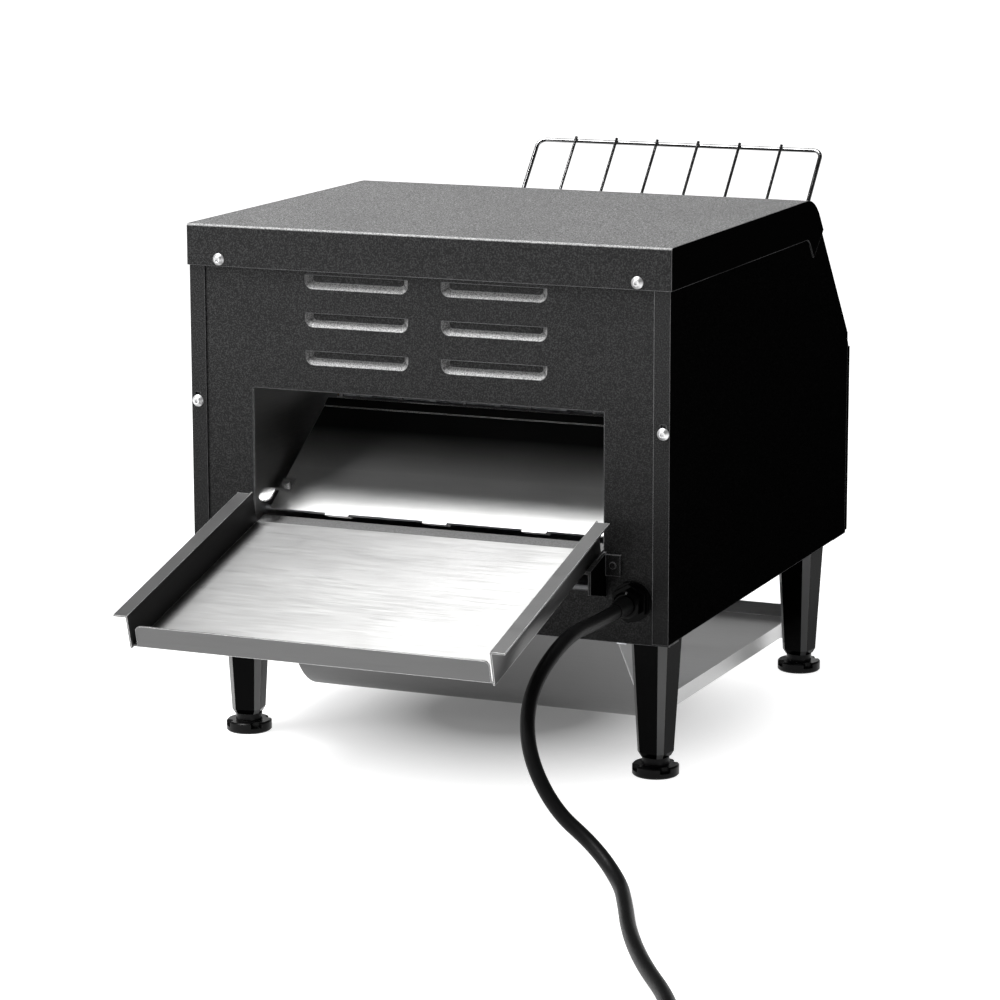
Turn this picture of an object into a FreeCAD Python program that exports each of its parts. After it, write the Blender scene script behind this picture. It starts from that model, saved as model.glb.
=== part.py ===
import FreeCAD, Part
import math
import os

# A conveyor toaster: a black sheet metal body on four legs, with a wire belt inside, a wire feed rack
# in front, a toast tray behind and a curved return tray underneath.
# Lengths are in millimetres. X runs across the machine, +Y points to the back and +Z up.
# Inside the model a place is given by its depth behind the front, counted forwards from the rear face,
# and by its height above the underside of the body.

V = FreeCAD.Vector

# Body
body_width = 368.0
body_depth = 413.0
body_height = 278.0
ground_clearance = 104.0
case_sheet = 1.2
inner_sheet = 1.0
knee_inset = 98.0
knee_radius = 42.0
corner_height = 156.0
running_clearance = 0.05
seat_gap = 0.3
overrun = 5.0
fold_radius = 2.0

# Top cover, side covers and front
rear_band_height = 30.0
hood_lap = 14.0
cover_return = 12.0
front_return = 6.0
bottom_return = 14.0
front_floor_return = 32.3
front_slope_return = 9.0
window_width = 272.0
window_start = 10.5
window_length = 82.5

# Rear panel
rear_floor_return = 20.3
opening_width = 270.5
opening_bottom = 34.4
opening_top = 161.4
louvre_width = 80.0
louvre_height = 10.0
louvre_pitch = 27.3
louvre_top = 245.1
louvre_offset = 52.8
louvre_press = 4.5
louvre_corner = 6.0
louvre_inner_corner = 3.0
louvre_rows = 3
keyhole_inset = 4.8
keyhole_height = 149.0
keyhole_length = 6.5
band_screw_inset = 23.9
band_screw_height = 253.0
screw_radius = 2.0
screw_length = 9.0
screw_head_radius = 4.4
screw_head_height = 2.6
screw_socket_radius = 1.5
screw_socket_depth = 1.4

# Base and inner frame
inner_width = 272.0
base_hole_start = 23.0
base_hole_end = 150.0
inner_wall_rear = 3.0
inner_wall_inset = 15.0
inner_wall_top = 256.0
inner_foot = 10.0
cross_front = 14.0
cross_rear = 12.0
cross_drop = 20.0
cross_tab = 1.5

# Rear toast tray and its brackets
tray_width = 268.0
tray_length = 193.0
tray_sheet = 1.2
tray_wall = 23.4
tray_lip = 9.5
tray_end_wall = 14.5
tray_end_inset = 4.0
tray_end_corner = 4.0
tray_wall_past = 3.0
tray_lip_start = 2.5
tray_slope = math.radians(14.8)
tray_seat_height = 62.8
tray_inner_gap = 1.5
bracket_sheet = 2.0
bracket_reach = 30.0
bracket_shelf = 8.0
bracket_foot = 11.0
bracket_bottom = 31.0
bracket_foot_bottom = 46.5
bracket_rise = 7.0
rivet_radius = 2.4
rivet_head = 1.0

# Discharge slide
slide_pivot_depth = 21.5
slide_pivot_height = 69.7
slide_rod_radius = 2.0
slide_barrel_radius = 3.4
slide_angle = math.radians(33.0)
slide_length = 115.0
slide_hem = 9.0
slide_width = 262.0
slide_edge = 4.2
slide_tab_width = 18.5
slide_tab_pitch = 76.8
slide_tab_past = 2.2
slide_sheet = 1.0
handle_width = 10.0
handle_place = 126.6
handle_foot_start = 14.0
handle_foot_end = 26.0
handle_rise = 17.5
handle_top = 2.6
handle_reach = 15.6
handle_bend = 3.0
handle_sheet = 1.5
handle_screw_radius = 3.0
handle_screw_height = 2.5

# Lower toast tray and what carries it
lower_width = 272.0
lower_sheet = 1.0
lower_front_past = 53.0
lower_front_height = -88.8
lower_rear_height = -82.8
lower_bend_depth = 89.0
lower_bend_radius = 57.0
lower_top_depth = 25.0
lower_rim = 11.5
lower_rim_start = 108.0
lower_ear = 12.0
lower_ear_half = 142.0
rail_half = 142.4
rail_end_inset = 123.0
rail_drop = 8.0
rail_foot = 5.8
rail_sheet = 1.5
strap_inset = 13.0
strap_width = 10.0
strap_sheet = 1.5
strap_foot = 12.0

# Feed rack
rack_width = 249.6
rack_wire = 1.75
rack_cross_wire = 1.25
rack_angle = math.radians(47.8)
rack_pivot_inset = 27.0
rack_pivot_height = 146.2
rack_length = 197.2
rack_corner = 7.0
rack_cross_pitch = 36.2
rack_cross_count = 6
rack_cross_past = 2.2
rack_cross_start = 26.0

# Legs and levelling feet
leg_inset = 22.8
rear_leg_depth = 37.0
front_leg_inset = 49.0
leg_top = 30.0
leg_bottom = 21.5
leg_chamfer = 5.0
leg_height = 90.5
leg_collar_height = 3.0
leg_end_height = 3.5
leg_end = 18.0
leg_turn = 10.0
leg_bore_depth = 32.0
foot_stud_radius = 4.0
foot_stud_length = 30.0
foot_neck_radius = 9.8
foot_disc_radius = 16.8
foot_disc_height = 8.0
foot_edge = 1.0
foot_notches = 4
foot_notch = 4.0

# Conveyor
drive_inset = 47.0
idler_depth = 150.0
shaft_height = 132.0
belt_radius = 20.0
belt_width = 262.0
belt_rod_radius = 1.1
belt_strip = 1.6
belt_strip_width = 3.0
belt_strip_share = [-0.98, -0.6, -0.2, 0.2, 0.6, 0.98]
belt_rod_pitch = 14.7
shaft_radius = 5.0
sprocket_radius = 18.6
sprocket_thickness = 5.0
sprocket_hub = 9.0
sprocket_hub_length = 12.0
sprocket_notches = 8
sprocket_notch = 3.0
sprocket_share = [-0.8, -0.4, 0.0, 0.4, 0.8]
bush_radius = 8.0
bush_flange_radius = 11.0
bush_flange = 2.0
bush_length = 6.0
shaft_past = 2.0

# Drive
chain_plane = 170.0
chain_wheel_radius = 17.8
chain_wheel_thickness = 2.4
chain_hub_radius = 9.0
chain_hub_length = 7.0
chain_pitch_radius = 20.0
motor_pitch_radius = 12.0
motor_wheel_radius = 9.8
motor_hub_radius = 6.0
chain_roller_radius = 1.7
chain_plate = 5.0
chain_plate_thickness = 0.9
chain_gap = 3.6
chain_roller_pitch = 6.42
motor_inset = 95.0
motor_height = 55.0
motor_shaft_radius = 3.5
motor_shaft_bore = 10.0
gearbox_thickness = 23.0
gearbox_length = 56.0
gearbox_height = 50.0
gearbox_corner = 6.0
motor_length = 60.0
motor_width = 34.0
motor_core_height = 44.0
motor_can_radius = 15.0

# Heaters and reflectors
tube_radius = 5.0
tube_length = 298.0
tube_hole = 5.6
upper_tube_height = 196.0
upper_tube_start = 10.0
upper_tube_end = 56.0
lower_tube_start = 34.0
lower_tube_end = 56.0
cap_radius = 8.0
cap_length = 16.0
reflector_height = 212.0
reflector_front_inset = 68.0
reflector_front_rise = 12.0
baffle_depth = 95.0
baffle_level = 164.5
baffle_level_end = 40.0
baffle_lip_depth = 12.0
baffle_lip_height = 161.6
lower_reflector_height = 98.0
lower_reflector_start = 152.0
lower_reflector_end_inset = 33.0
reflector_flange = 8.0

# Cooling fan
fan_size = 92.0
fan_thickness = 25.0
fan_place = -53.5
fan_height = 213.0
fan_standoff = 9.0
fan_post_radius = 3.0
fan_post_inset = 5.0
fan_bore = 43.0
fan_corner = 5.0
fan_hub_radius = 16.0
fan_hub_plate = 3.0
fan_pin_radius = 2.0
fan_pin_length = 12.0
fan_arm = 5.0
rotor_radius = 41.5
rotor_hub_radius = 17.0
rotor_thickness = 18.0
rotor_blades = 7
rotor_blade = 1.6
rotor_blade_turn = 38.0

# Controls
control_height = 62.0
rocker_place = -154.0
lamp_place = -112.0
lamp_pitch = 22.0
heat_place = 18.0
speed_place = 112.0
knob_radius = 18.0
knob_height = 17.0
knob_skirt = 3.0
knob_grip = 9.0
knob_grip_height = 12.0
knob_gap = 0.5
spindle_radius = 3.0
control_body_radius = 13.0
control_body_length = 16.0
switch_width = 22.0
switch_height = 30.0
switch_bezel = 2.0
switch_bezel_height = 1.5
switch_body_depth = 20.0
switch_wall = 1.5
rocker_pivot_depth = 2.0
rocker_pin_radius = 1.5
rocker_stand = 3.2
rocker_dip = 1.6
rocker_tilt = 8.0
lamp_radius = 5.0
lamp_flange_radius = 6.8
lamp_flange = 1.2
lamp_dome = 3.0
lamp_body = 12.0
terminal_width = 23.0
terminal_length = 48.0
terminal_height = 16.0
terminal_slots = 5
terminal_slot = 5.0
terminal_place = -158.0
terminal_depth = 66.0

# Cable gland, cord and plug
gland_place = -157.0
gland_height = 29.3
gland_flange_radius = 14.2
gland_flange = 3.0
gland_shank_radius = 9.0
gland_body_flats = 24.0
gland_body_hex = 5.5
gland_cap_flats = 19.0
gland_cap_hex = 5.5
gland_cap_radius = 8.2
gland_cap_cone = 1.5
gland_lock_nut = 4.0
sleeve_radius = 6.8
sleeve_end_radius = 5.6
sleeve_length = 22.0
sleeve_socket = 3.0
cord_radius = 5.0
cord_rest = 0.1
cord_bend_share = 0.45
coil_radius = 57.0
coil_spacing = 10.9
coil_rise = 11.2
coil_rest = 1.0
coil_half_turns = 3
coil_measures = 60
tie_sheet = 0.8
tie_width = 10.0
tie_gap = 0.6
tie_corner = 3.0
plug_length = 36.0
plug_neck_radius = 8.0
plug_neck_length = 24.0
plug_edge = 2.5
plug_pin_radius = 2.4
plug_pin_length = 19.0
plug_pin_spacing = 19.0
plug_pin_seat = 8.0

# The route of the cord that isn't coiled: X, depth and height of its middle line.
cord_route = [
    (-157, -67, 29.3),
    (-154, -117, 31),
    (-146, -162, 4),
    (-154, -187, -29),
    (-177, -197, -64),
    (-208, -202, -84),
    (-234, -224, -98.9),
    (-253, -265, -98.9),
    (-274, -314, -98.9),
    (-303, -367, -98.9),
    (-339, -420, -98.9),
    (-374, -496, -98),
    (-418, -576, -98),
]


# Places worked out from the sizes above

knee_depth = body_depth - knee_inset
inner_wall_front = body_depth - inner_wall_inset
front_leg_depth = body_depth - front_leg_inset
rack_pivot_depth = body_depth - rack_pivot_inset
drive_depth = body_depth - drive_inset
motor_depth = body_depth - motor_inset
reflector_front = body_depth - reflector_front_inset
lower_reflector_end = body_depth - lower_reflector_end_inset
lower_front = body_depth + lower_front_past
rail_end = body_depth - rail_end_inset
strap_start = body_depth - strap_inset
slope_tan = (body_height - corner_height) / (body_depth - knee_depth)
slope_angle = math.atan(slope_tan)
slope_length = math.hypot(body_depth - knee_depth, body_height - corner_height)
knee_run = knee_radius * math.tan(slope_angle / 2)
half_width = body_width / 2
inner_face = inner_width / 2
rack_bar_depth = rack_pivot_depth + rack_length * math.cos(rack_angle)
rack_reach = rack_bar_depth + rack_wire
tray_reach = (
    tray_inner_gap
    + (tray_length + tray_wall_past) * math.cos(tray_slope)
    + (tray_wall + tray_sheet) * math.sin(tray_slope)
)
rear_y = (rack_reach - tray_reach) / 2
tube_places = []
for height, first, last in (
    (upper_tube_height, idler_depth + upper_tube_start, drive_depth - upper_tube_end),
    (shaft_height, idler_depth + lower_tube_start, drive_depth - lower_tube_end),
):
    tube_places += [(depth, height) for depth in (first, (first + last) / 2, last)]


def y_at(depth):
    """The Y of a depth counted forwards from the rear face."""
    return rear_y - depth


def z_at(height):
    """The Z of a height above the underside of the body."""
    return ground_clearance + height


def place(x, depth, height):
    """The point at a width, a depth and a height."""
    return V(x, y_at(depth), z_at(height))


def slab(x_span, depth_span, height_span):
    """A box between two widths, two depths and two heights."""
    x0, x1 = sorted(x_span)
    d0, d1 = sorted(depth_span)
    h0, h1 = sorted(height_span)
    return Part.makeBox(x1 - x0, d1 - d0, h1 - h0, place(x0, d1, h0))


def rod_x(x_span, depth, height, radius):
    """A round bar along X."""
    x0, x1 = sorted(x_span)
    return Part.makeCylinder(radius, x1 - x0, place(x0, depth, height), V(1, 0, 0))


def rod_y(x, depth_span, height, radius):
    """A round bar along Y."""
    d0, d1 = sorted(depth_span)
    return Part.makeCylinder(radius, d1 - d0, place(x, d1, height), V(0, 1, 0))


def rod_z(x, depth, height_span, radius):
    """A round bar along Z."""
    h0, h1 = sorted(height_span)
    return Part.makeCylinder(radius, h1 - h0, place(x, depth, h0), V(0, 0, 1))


def join(shapes):
    """One solid from shapes that touch or overlap."""
    first = shapes[0]
    if len(shapes) > 1:
        first = first.fuse(shapes[1:])
    return first.removeSplitter()


def group(solids):
    """Several separate solids kept as one node."""
    return Part.makeCompound(solids)


def fillet_wire(points, radii):
    """A closed wire through the points, with a tangent arc of the given radius at each corner."""
    count = len(points)
    edges = []
    starts = []
    ends = []
    middles = []
    for i in range(count):
        here = points[i]
        back = (points[i - 1] - here).normalize()
        ahead = (points[(i + 1) % count] - here).normalize()
        half = back.getAngle(ahead) / 2
        if radii[i] <= 0:
            starts.append(here)
            ends.append(here)
            middles.append(None)
            continue
        run = radii[i] / math.tan(half)
        starts.append(here + back * run)
        ends.append(here + ahead * run)
        to_centre = (back + ahead).normalize()
        centre = here + to_centre * (radii[i] / math.sin(half))
        middles.append(centre - to_centre * radii[i])
    for i in range(count):
        if middles[i] is not None:
            edges.append(Part.Arc(starts[i], middles[i], ends[i]).toShape())
        follower = starts[(i + 1) % count]
        if ends[i].distanceToPoint(follower) > 1e-7:
            edges.append(Part.LineSegment(ends[i], follower).toShape())
    return Part.Wire(edges)


def profile_bar(corners, radii, x_span):
    """A bar along X whose section has corners given as depth and height, with a radius for each,
    or all sharp if no radii are given."""
    x0, x1 = sorted(x_span)
    points = [place(x0, depth, height) for depth, height in corners]
    return Part.Face(fillet_wire(points, radii or [0] * len(points))).extrude(V(x1 - x0, 0, 0))


def offset_line(corners, distance):
    """An open line of depth and height points moved sideways, to the left of its direction."""
    directions = []
    for (d0, h0), (d1, h1) in zip(corners, corners[1:]):
        size = math.hypot(d1 - d0, h1 - h0)
        directions.append(((d1 - d0) / size, (h1 - h0) / size))
    moved = []
    for i, (depth, height) in enumerate(corners):
        before = directions[max(i - 1, 0)]
        after = directions[min(i, len(directions) - 1)]
        reach = distance / (1 + before[0] * after[0] + before[1] * after[1])
        moved.append((depth - reach * (before[1] + after[1]), height + reach * (before[0] + after[0])))
    return moved


def bent_sheet(corners, radii, thickness, x_span):
    """A sheet bent along X. Its face follows the corners, its thickness lies to the left of them,
    or to the right if it is negative, and each bend has the given radius on its outside."""
    other = offset_line(corners, thickness)
    near = []
    far = []
    for i in range(len(corners)):
        if i in (0, len(corners) - 1):
            near.append(0.0)
            far.append(0.0)
            continue
        a = (corners[i][0] - corners[i - 1][0], corners[i][1] - corners[i - 1][1])
        b = (corners[i + 1][0] - corners[i][0], corners[i + 1][1] - corners[i][1])
        left_turn = a[0] * b[1] - a[1] * b[0] > 0
        corners_outside = left_turn == (thickness > 0)
        inside = max(radii[i] - abs(thickness), 0.0)
        near.append(radii[i] if corners_outside else inside)
        far.append(inside if corners_outside else radii[i])
    return profile_bar(corners + other[::-1], near + far[::-1], x_span)


def slope_height(depth, inset):
    """The height of the sloping front at a depth, moved inwards by an inset."""
    return body_height - (depth + inset / math.sin(slope_angle) - knee_depth) * slope_tan


def slope_depth(height, inset):
    """The depth of the sloping front at a height, moved inwards by an inset."""
    return knee_depth + (body_height - height) / slope_tan - inset / math.sin(slope_angle)


def slope_point(run, inset):
    """A point a distance up the sloping front from its lower corner, moved inwards by an inset."""
    depth = body_depth - run * math.cos(slope_angle) - inset * math.sin(slope_angle)
    height = corner_height + run * math.sin(slope_angle) - inset * math.cos(slope_angle)
    return depth, height


def mirror_x(shape):
    """The same shape on the other side of the machine."""
    return shape.mirror(V(0, 0, 0), V(1, 0, 0))


# Casing

def top_cover():
    """The roof: a rear band, the flat top, the rounded knee and a lap on the slope, with side flanges."""
    corners = [
        (-2 * case_sheet, body_height - rear_band_height),
        (-2 * case_sheet, body_height),
        (knee_depth, body_height),
        slope_point(slope_length - knee_run - hood_lap, 0),
    ]
    radii = [0, fold_radius, knee_radius, 0]
    outer = half_width + case_sheet
    roof = bent_sheet(corners, radii, -case_sheet, (-outer, outer))
    below = offset_line(corners[1:], -rear_band_height)[:0:-1]
    flange = profile_bar(corners + below, radii + [0, knee_radius - rear_band_height], (half_width, outer))
    cover = join([roof, flange, mirror_x(flange)])
    for side in (-1, 1):
        x = side * (half_width - band_screw_inset)
        cover = cover.cut(rod_y(x, (-overrun, 0), band_screw_height, screw_radius + running_clearance))
    return cover


def side_cover(side):
    """A flat side with a return flange behind, over the edge of the rear panel, and one below."""
    inset = case_sheet
    front = body_depth - front_return
    top = body_height - case_sheet
    corners = [
        (0, 0),
        (0, top),
        (slope_depth(top, inset), top),
        (front, slope_height(front, inset)),
        (front, 0),
    ]
    radii = [0, 0, knee_radius - case_sheet, 0, 0]
    plate = profile_bar(corners, radii, (half_width - case_sheet, half_width))
    rear = slab((half_width - cover_return, half_width), (-case_sheet, 0), (0, top - fold_radius))
    below = slab(
        (half_width - bottom_return, half_width - case_sheet),
        (case_sheet, front),
        (case_sheet, 2 * case_sheet),
    )
    x = half_width - keyhole_inset
    slot = slab(
        (x - screw_radius - running_clearance, x + screw_radius + running_clearance),
        (-overrun, 0),
        (keyhole_height, keyhole_height + keyhole_length),
    )
    hole = rod_y(x, (-overrun, 0), keyhole_height, screw_radius + running_clearance)
    cover = join([plate, rear, below]).cut(slot).cut(hole)
    return cover if side > 0 else mirror_x(cover)


def louvre_wire(x, top, width, height, depth, corner):
    """The outline of a louvre at one depth: square above and rounded below."""
    half = width / 2
    points = [
        place(x - half, depth, top),
        place(x + half, depth, top),
        place(x + half, depth, top - height),
        place(x - half, depth, top - height),
    ]
    return fillet_wire(points, [0, 0, corner, corner])


def louvre_body(x, top, grow, start, depth):
    """The pressed form of a louvre, grown by a sheet thickness for its outside."""
    outer = louvre_wire(x, top, louvre_width + 2 * grow, louvre_height + grow, start, louvre_corner + grow)
    inner = louvre_wire(
        x,
        top,
        louvre_width - 2 * louvre_press + 2 * grow,
        louvre_height - louvre_press + grow,
        depth,
        louvre_inner_corner + grow,
    )
    return Part.makeLoft([outer, inner], True, True)


def rear_panel():
    """The back, with its discharge opening, six louvres pressed inwards and a return flange below."""
    edge = half_width - case_sheet
    panel = slab((-edge, edge), (0, case_sheet), (0, body_height - case_sheet))
    opening_span = (-opening_width / 2, opening_width / 2)
    opening = slab(opening_span, (-overrun, overrun), (opening_bottom, opening_top))
    panel = panel.cut(opening)
    for column in (-1, 1):
        for row in range(louvre_rows):
            x = column * louvre_offset
            top = louvre_top - row * louvre_pitch
            hollow = louvre_body(x, top, 0, 0, louvre_press)
            shell = louvre_body(x, top, case_sheet, case_sheet, louvre_press + case_sheet)
            lip = louvre_body(x, top, case_sheet, 0, case_sheet)
            skin = join([shell, lip.common(slab((-edge, edge), (0, case_sheet), (0, body_height)))])
            panel = join([panel, skin]).cut(hollow)
    below = slab((-half_width, half_width), (0, rear_floor_return), (-case_sheet, 0))
    stand = slab((-edge, edge), (0, case_sheet), (-case_sheet, 0))
    panel = join([panel, below, stand])
    shank = rod_y(gland_place, (-overrun, overrun), gland_height, gland_shank_radius + running_clearance)
    panel = panel.cut(shank)
    for side in (-1, 1):
        for inset, height in ((keyhole_inset, keyhole_height), (band_screw_inset, band_screw_height)):
            x = side * (half_width - inset)
            panel = panel.cut(rod_y(x, (-overrun, overrun), height, screw_radius + running_clearance))
    return panel


def front_panel():
    """The control front: an upright face, folded in along the slope above and under the base below."""
    corner = slope_height(body_depth, 2 * case_sheet)
    slope_end = (
        body_depth - front_slope_return * math.cos(slope_angle),
        corner + front_slope_return * math.sin(slope_angle),
    )
    corners = [
        (body_depth - front_floor_return, -case_sheet),
        (body_depth, -case_sheet),
        (body_depth, corner),
        slope_end,
    ]
    edge = half_width - case_sheet
    face = bent_sheet(corners, [0, fold_radius, fold_radius, 0], case_sheet, (-edge, edge))
    parts = [face]
    through = (body_depth - overrun, body_depth + overrun)
    for side in (-1, 1):
        x_span = (side * edge, side * half_width)
        height_span = (fold_radius, corner - fold_radius)
        parts.append(slab(x_span, (body_depth - front_return, body_depth), height_span))
    panel = join(parts)
    for x in (heat_place, speed_place):
        panel = panel.cut(rod_y(x, through, control_height, spindle_radius + seat_gap))
    for step in (0, 1):
        x = lamp_place + step * lamp_pitch
        panel = panel.cut(rod_y(x, through, control_height, lamp_radius + running_clearance))
    half = switch_width / 2 + running_clearance
    high = switch_height / 2 + running_clearance
    window = slab(
        (rocker_place - half, rocker_place + half), through, (control_height - high, control_height + high)
    )
    return panel.cut(window)


def loading_frame():
    """The sloping plate between the roof and the front panel, with the window that bread goes in by."""
    edge = half_width - case_sheet
    low = slope_point(case_sheet, case_sheet)
    high = slope_point(slope_length - knee_run, case_sheet)
    plate = bent_sheet([low, high], [0, 0], case_sheet, (-edge, edge))
    window = profile_bar(
        [
            slope_point(window_start, -overrun),
            slope_point(window_start + window_length, -overrun),
            slope_point(window_start + window_length, overrun),
            slope_point(window_start, overrun),
        ],
        None,
        (-window_width / 2, window_width / 2),
    )
    return plate.cut(window)


def base_plate():
    """The floor of the body, open behind so that toast can fall to the return tray."""
    edge = half_width - case_sheet
    plate = slab((-edge, edge), (case_sheet, body_depth - fold_radius), (0, case_sheet))
    hole = slab((-inner_face, inner_face), (base_hole_start, base_hole_end), (-overrun, overrun))
    return plate.cut(hole)


def tray_rails():
    """Two Z rails under the base, on which the ears of the lower tray slide."""
    run = (base_hole_start, rail_end)
    upright = slab((rail_half, rail_half + rail_sheet), run, (-rail_drop, 0))
    foot = slab((rail_half - rail_foot, rail_half), run, (-rail_drop, rail_sheet - rail_drop))
    rail = join([upright, foot])
    return group([rail, mirror_x(rail)])


def lower_floor_height(depth):
    """The underside of the lower tray's floor at a depth."""
    fall = (lower_front_height - lower_rear_height) / (lower_front - lower_bend_depth)
    return lower_rear_height + (depth - lower_bend_depth) * fall


def front_tray_strap():
    """A U of flat strip hung under the front of the base, which the lower tray's floor rests on."""
    inside = lower_width / 2 + seat_gap
    outside = inside + strap_sheet
    span = (strap_start, strap_start + strap_width)
    seat = lower_floor_height(strap_start + strap_width)
    bottom = slab((-outside, outside), span, (seat - strap_sheet, seat))
    parts = [bottom]
    for side in (-1, 1):
        parts.append(slab((side * inside, side * outside), span, (seat - strap_sheet, -case_sheet)))
        foot_span = (side * inside, side * (outside + strap_foot))
        parts.append(slab(foot_span, span, (-case_sheet - strap_sheet, -case_sheet)))
    return join(parts)


def inner_wall(side):
    """A side of the heating chamber, with holes for the shafts, heaters, rack and slide."""
    x_span = (inner_face, inner_face + inner_sheet)
    front_inset = 3 * case_sheet
    corners = [
        (inner_wall_rear, case_sheet),
        (inner_wall_rear, inner_wall_top),
        (slope_depth(inner_wall_top, front_inset), inner_wall_top),
        (inner_wall_front, slope_height(inner_wall_front, front_inset)),
        (inner_wall_front, case_sheet),
    ]
    wall = profile_bar(corners, None, x_span)
    foot = slab(
        (inner_face, inner_face + inner_foot),
        (inner_wall_rear + inner_foot, inner_wall_front),
        (case_sheet, 2 * case_sheet),
    )
    wall = join([wall, foot])
    cut_span = (inner_face - overrun, inner_face + overrun)
    holes = [(drive_depth, shaft_height, bush_radius), (idler_depth, shaft_height, bush_radius)]
    holes += [(depth, height, tube_hole) for depth, height in tube_places]
    holes.append((rack_pivot_depth, rack_pivot_height, rack_wire))
    holes.append((slide_pivot_depth, slide_pivot_height, slide_rod_radius))
    for depth, height, radius in holes:
        wall = wall.cut(rod_x(cut_span, depth, height, radius + running_clearance))
    return wall if side > 0 else mirror_x(wall)


# Rear discharge

def seat_height(depth):
    """The surface of the rear cross member, which carries the inner end of the rear tray."""
    return tray_seat_height + depth * math.tan(tray_slope)


def rear_cross_member():
    """The painted ledge across the opening, sloping like the tray, with a tab at each end."""
    edge = opening_width / 2 - cross_tab
    inner = (cross_front, seat_height(cross_front))
    corners = [(-cross_rear, seat_height(-cross_rear)), inner, (cross_front, inner[1] - cross_drop)]
    ledge = bent_sheet(corners, [0, fold_radius, 0], -case_sheet, (-edge, edge))
    parts = [ledge]
    for side in (-1, 1):
        parts.append(
            slab(
                (side * (edge - cross_tab), side * inner_face),
                (2 * case_sheet + seat_gap, cross_front),
                (inner[1] - cross_drop, seat_height(2 * case_sheet) - 2 * case_sheet),
            )
        )
    return join(parts)


def tray_frame(shape):
    """Turns a shape drawn on the rear tray's own floor, with X across, Y outwards and Z up,
    down the tray's slope, with its inner end on the cross member."""
    moved = shape.copy()
    moved.rotate(V(0, 0, 0), V(1, 0, 0), -math.degrees(tray_slope))
    moved.translate(place(0, -tray_inner_gap, seat_height(-tray_inner_gap)))
    return moved


def rear_toast_tray():
    """A sheet tray with lipped side walls and a lower outer wall that stands clear at its corners."""
    half = tray_width / 2
    floor = Part.makeBox(tray_width, tray_length, tray_sheet, V(-half, 0, 0))
    wall_height = tray_wall + tray_sheet
    side = Part.makeBox(tray_sheet, tray_length + tray_wall_past, wall_height, V(half - tray_sheet, 0, 0))
    lip = Part.makeBox(
        tray_lip + tray_sheet,
        tray_length + tray_wall_past - tray_lip_start,
        tray_sheet,
        V(half - tray_sheet, tray_lip_start, wall_height - tray_sheet),
    )
    end_half = half - tray_end_inset
    y = tray_length - tray_sheet
    points = [
        V(-end_half, y, 0),
        V(-end_half, y, tray_end_wall + tray_sheet),
        V(end_half, y, tray_end_wall + tray_sheet),
        V(end_half, y, 0),
    ]
    outline = fillet_wire(points, [0, tray_end_corner, tray_end_corner, 0])
    end = Part.Face(outline).extrude(V(0, tray_sheet, 0))
    tray = join([floor, side, lip, mirror_x(side), mirror_x(lip), end])
    return tray_frame(tray)


def tray_brackets():
    """Two riveted angles on the rear panel, whose shelves carry the rear tray's floor."""
    web_in = tray_width / 2 + seat_gap + tray_sheet
    web_out = web_in + bracket_sheet
    top_in = seat_height(0)
    top_out = seat_height(-bracket_reach)
    web = profile_bar(
        [
            (0, bracket_bottom),
            (0, top_in),
            (-bracket_reach, top_out),
            (-bracket_reach, bracket_bottom + bracket_rise),
        ],
        None,
        (web_in, web_out),
    )
    drop = bracket_sheet / math.cos(tray_slope)
    shelf = profile_bar(
        [
            (-cross_rear, seat_height(-cross_rear)),
            (-bracket_reach, top_out),
            (-bracket_reach, top_out - drop),
            (-cross_rear, seat_height(-cross_rear) - drop),
        ],
        None,
        (web_in - bracket_shelf, web_out),
    )
    foot_top = top_in - tray_sheet
    foot = slab((web_in, web_out + bracket_foot), (-bracket_sheet, 0), (bracket_foot_bottom, foot_top))
    rivet = rod_y(
        web_out + bracket_foot / 2,
        (-bracket_sheet - rivet_head, -bracket_sheet),
        (bracket_foot_bottom + foot_top) / 2,
        rivet_radius,
    )
    bracket = join([web, shelf, foot, rivet])
    return group([bracket, mirror_x(bracket)])


def slide_point(along, out):
    """The depth and height of a point a distance up the slide from its pivot and a distance out of it."""
    depth = slide_pivot_depth + along * math.cos(slide_angle) - out * math.sin(slide_angle)
    height = slide_pivot_height + along * math.sin(slide_angle) + out * math.cos(slide_angle)
    return depth, height


def slide_plate(x_span, along_span, out_span):
    """A flat piece lying along the slide."""
    a0, a1 = along_span
    o0, o1 = out_span
    corners = [slide_point(a0, o0), slide_point(a1, o0), slide_point(a1, o1), slide_point(a0, o1)]
    return profile_bar(corners, None, x_span)


def discharge_slide():
    """The plate that toast slides down, hemmed above, with three tabs that turn on the pivot rod."""
    level = slide_barrel_radius - slide_sheet
    half = slide_width / 2
    plate = slide_plate((-half, half), (-slide_edge, slide_length), (level, slide_barrel_radius))
    hem = slide_plate(
        (-half, half),
        (slide_length - slide_hem, slide_length),
        (slide_barrel_radius, slide_barrel_radius + slide_sheet),
    )
    parts = [plate, hem]
    for step in (-1, 0, 1):
        x = step * slide_tab_pitch
        span = (x - slide_tab_width / 2, x + slide_tab_width / 2)
        parts.append(slide_plate(span, (-slide_edge - slide_tab_past, 0), (level, slide_barrel_radius)))
        parts.append(rod_x(span, slide_pivot_depth, slide_pivot_height, slide_barrel_radius))
    rod = rod_x((-half, half), slide_pivot_depth, slide_pivot_height, slide_rod_radius + running_clearance)
    return join(parts).cut(rod)


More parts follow.
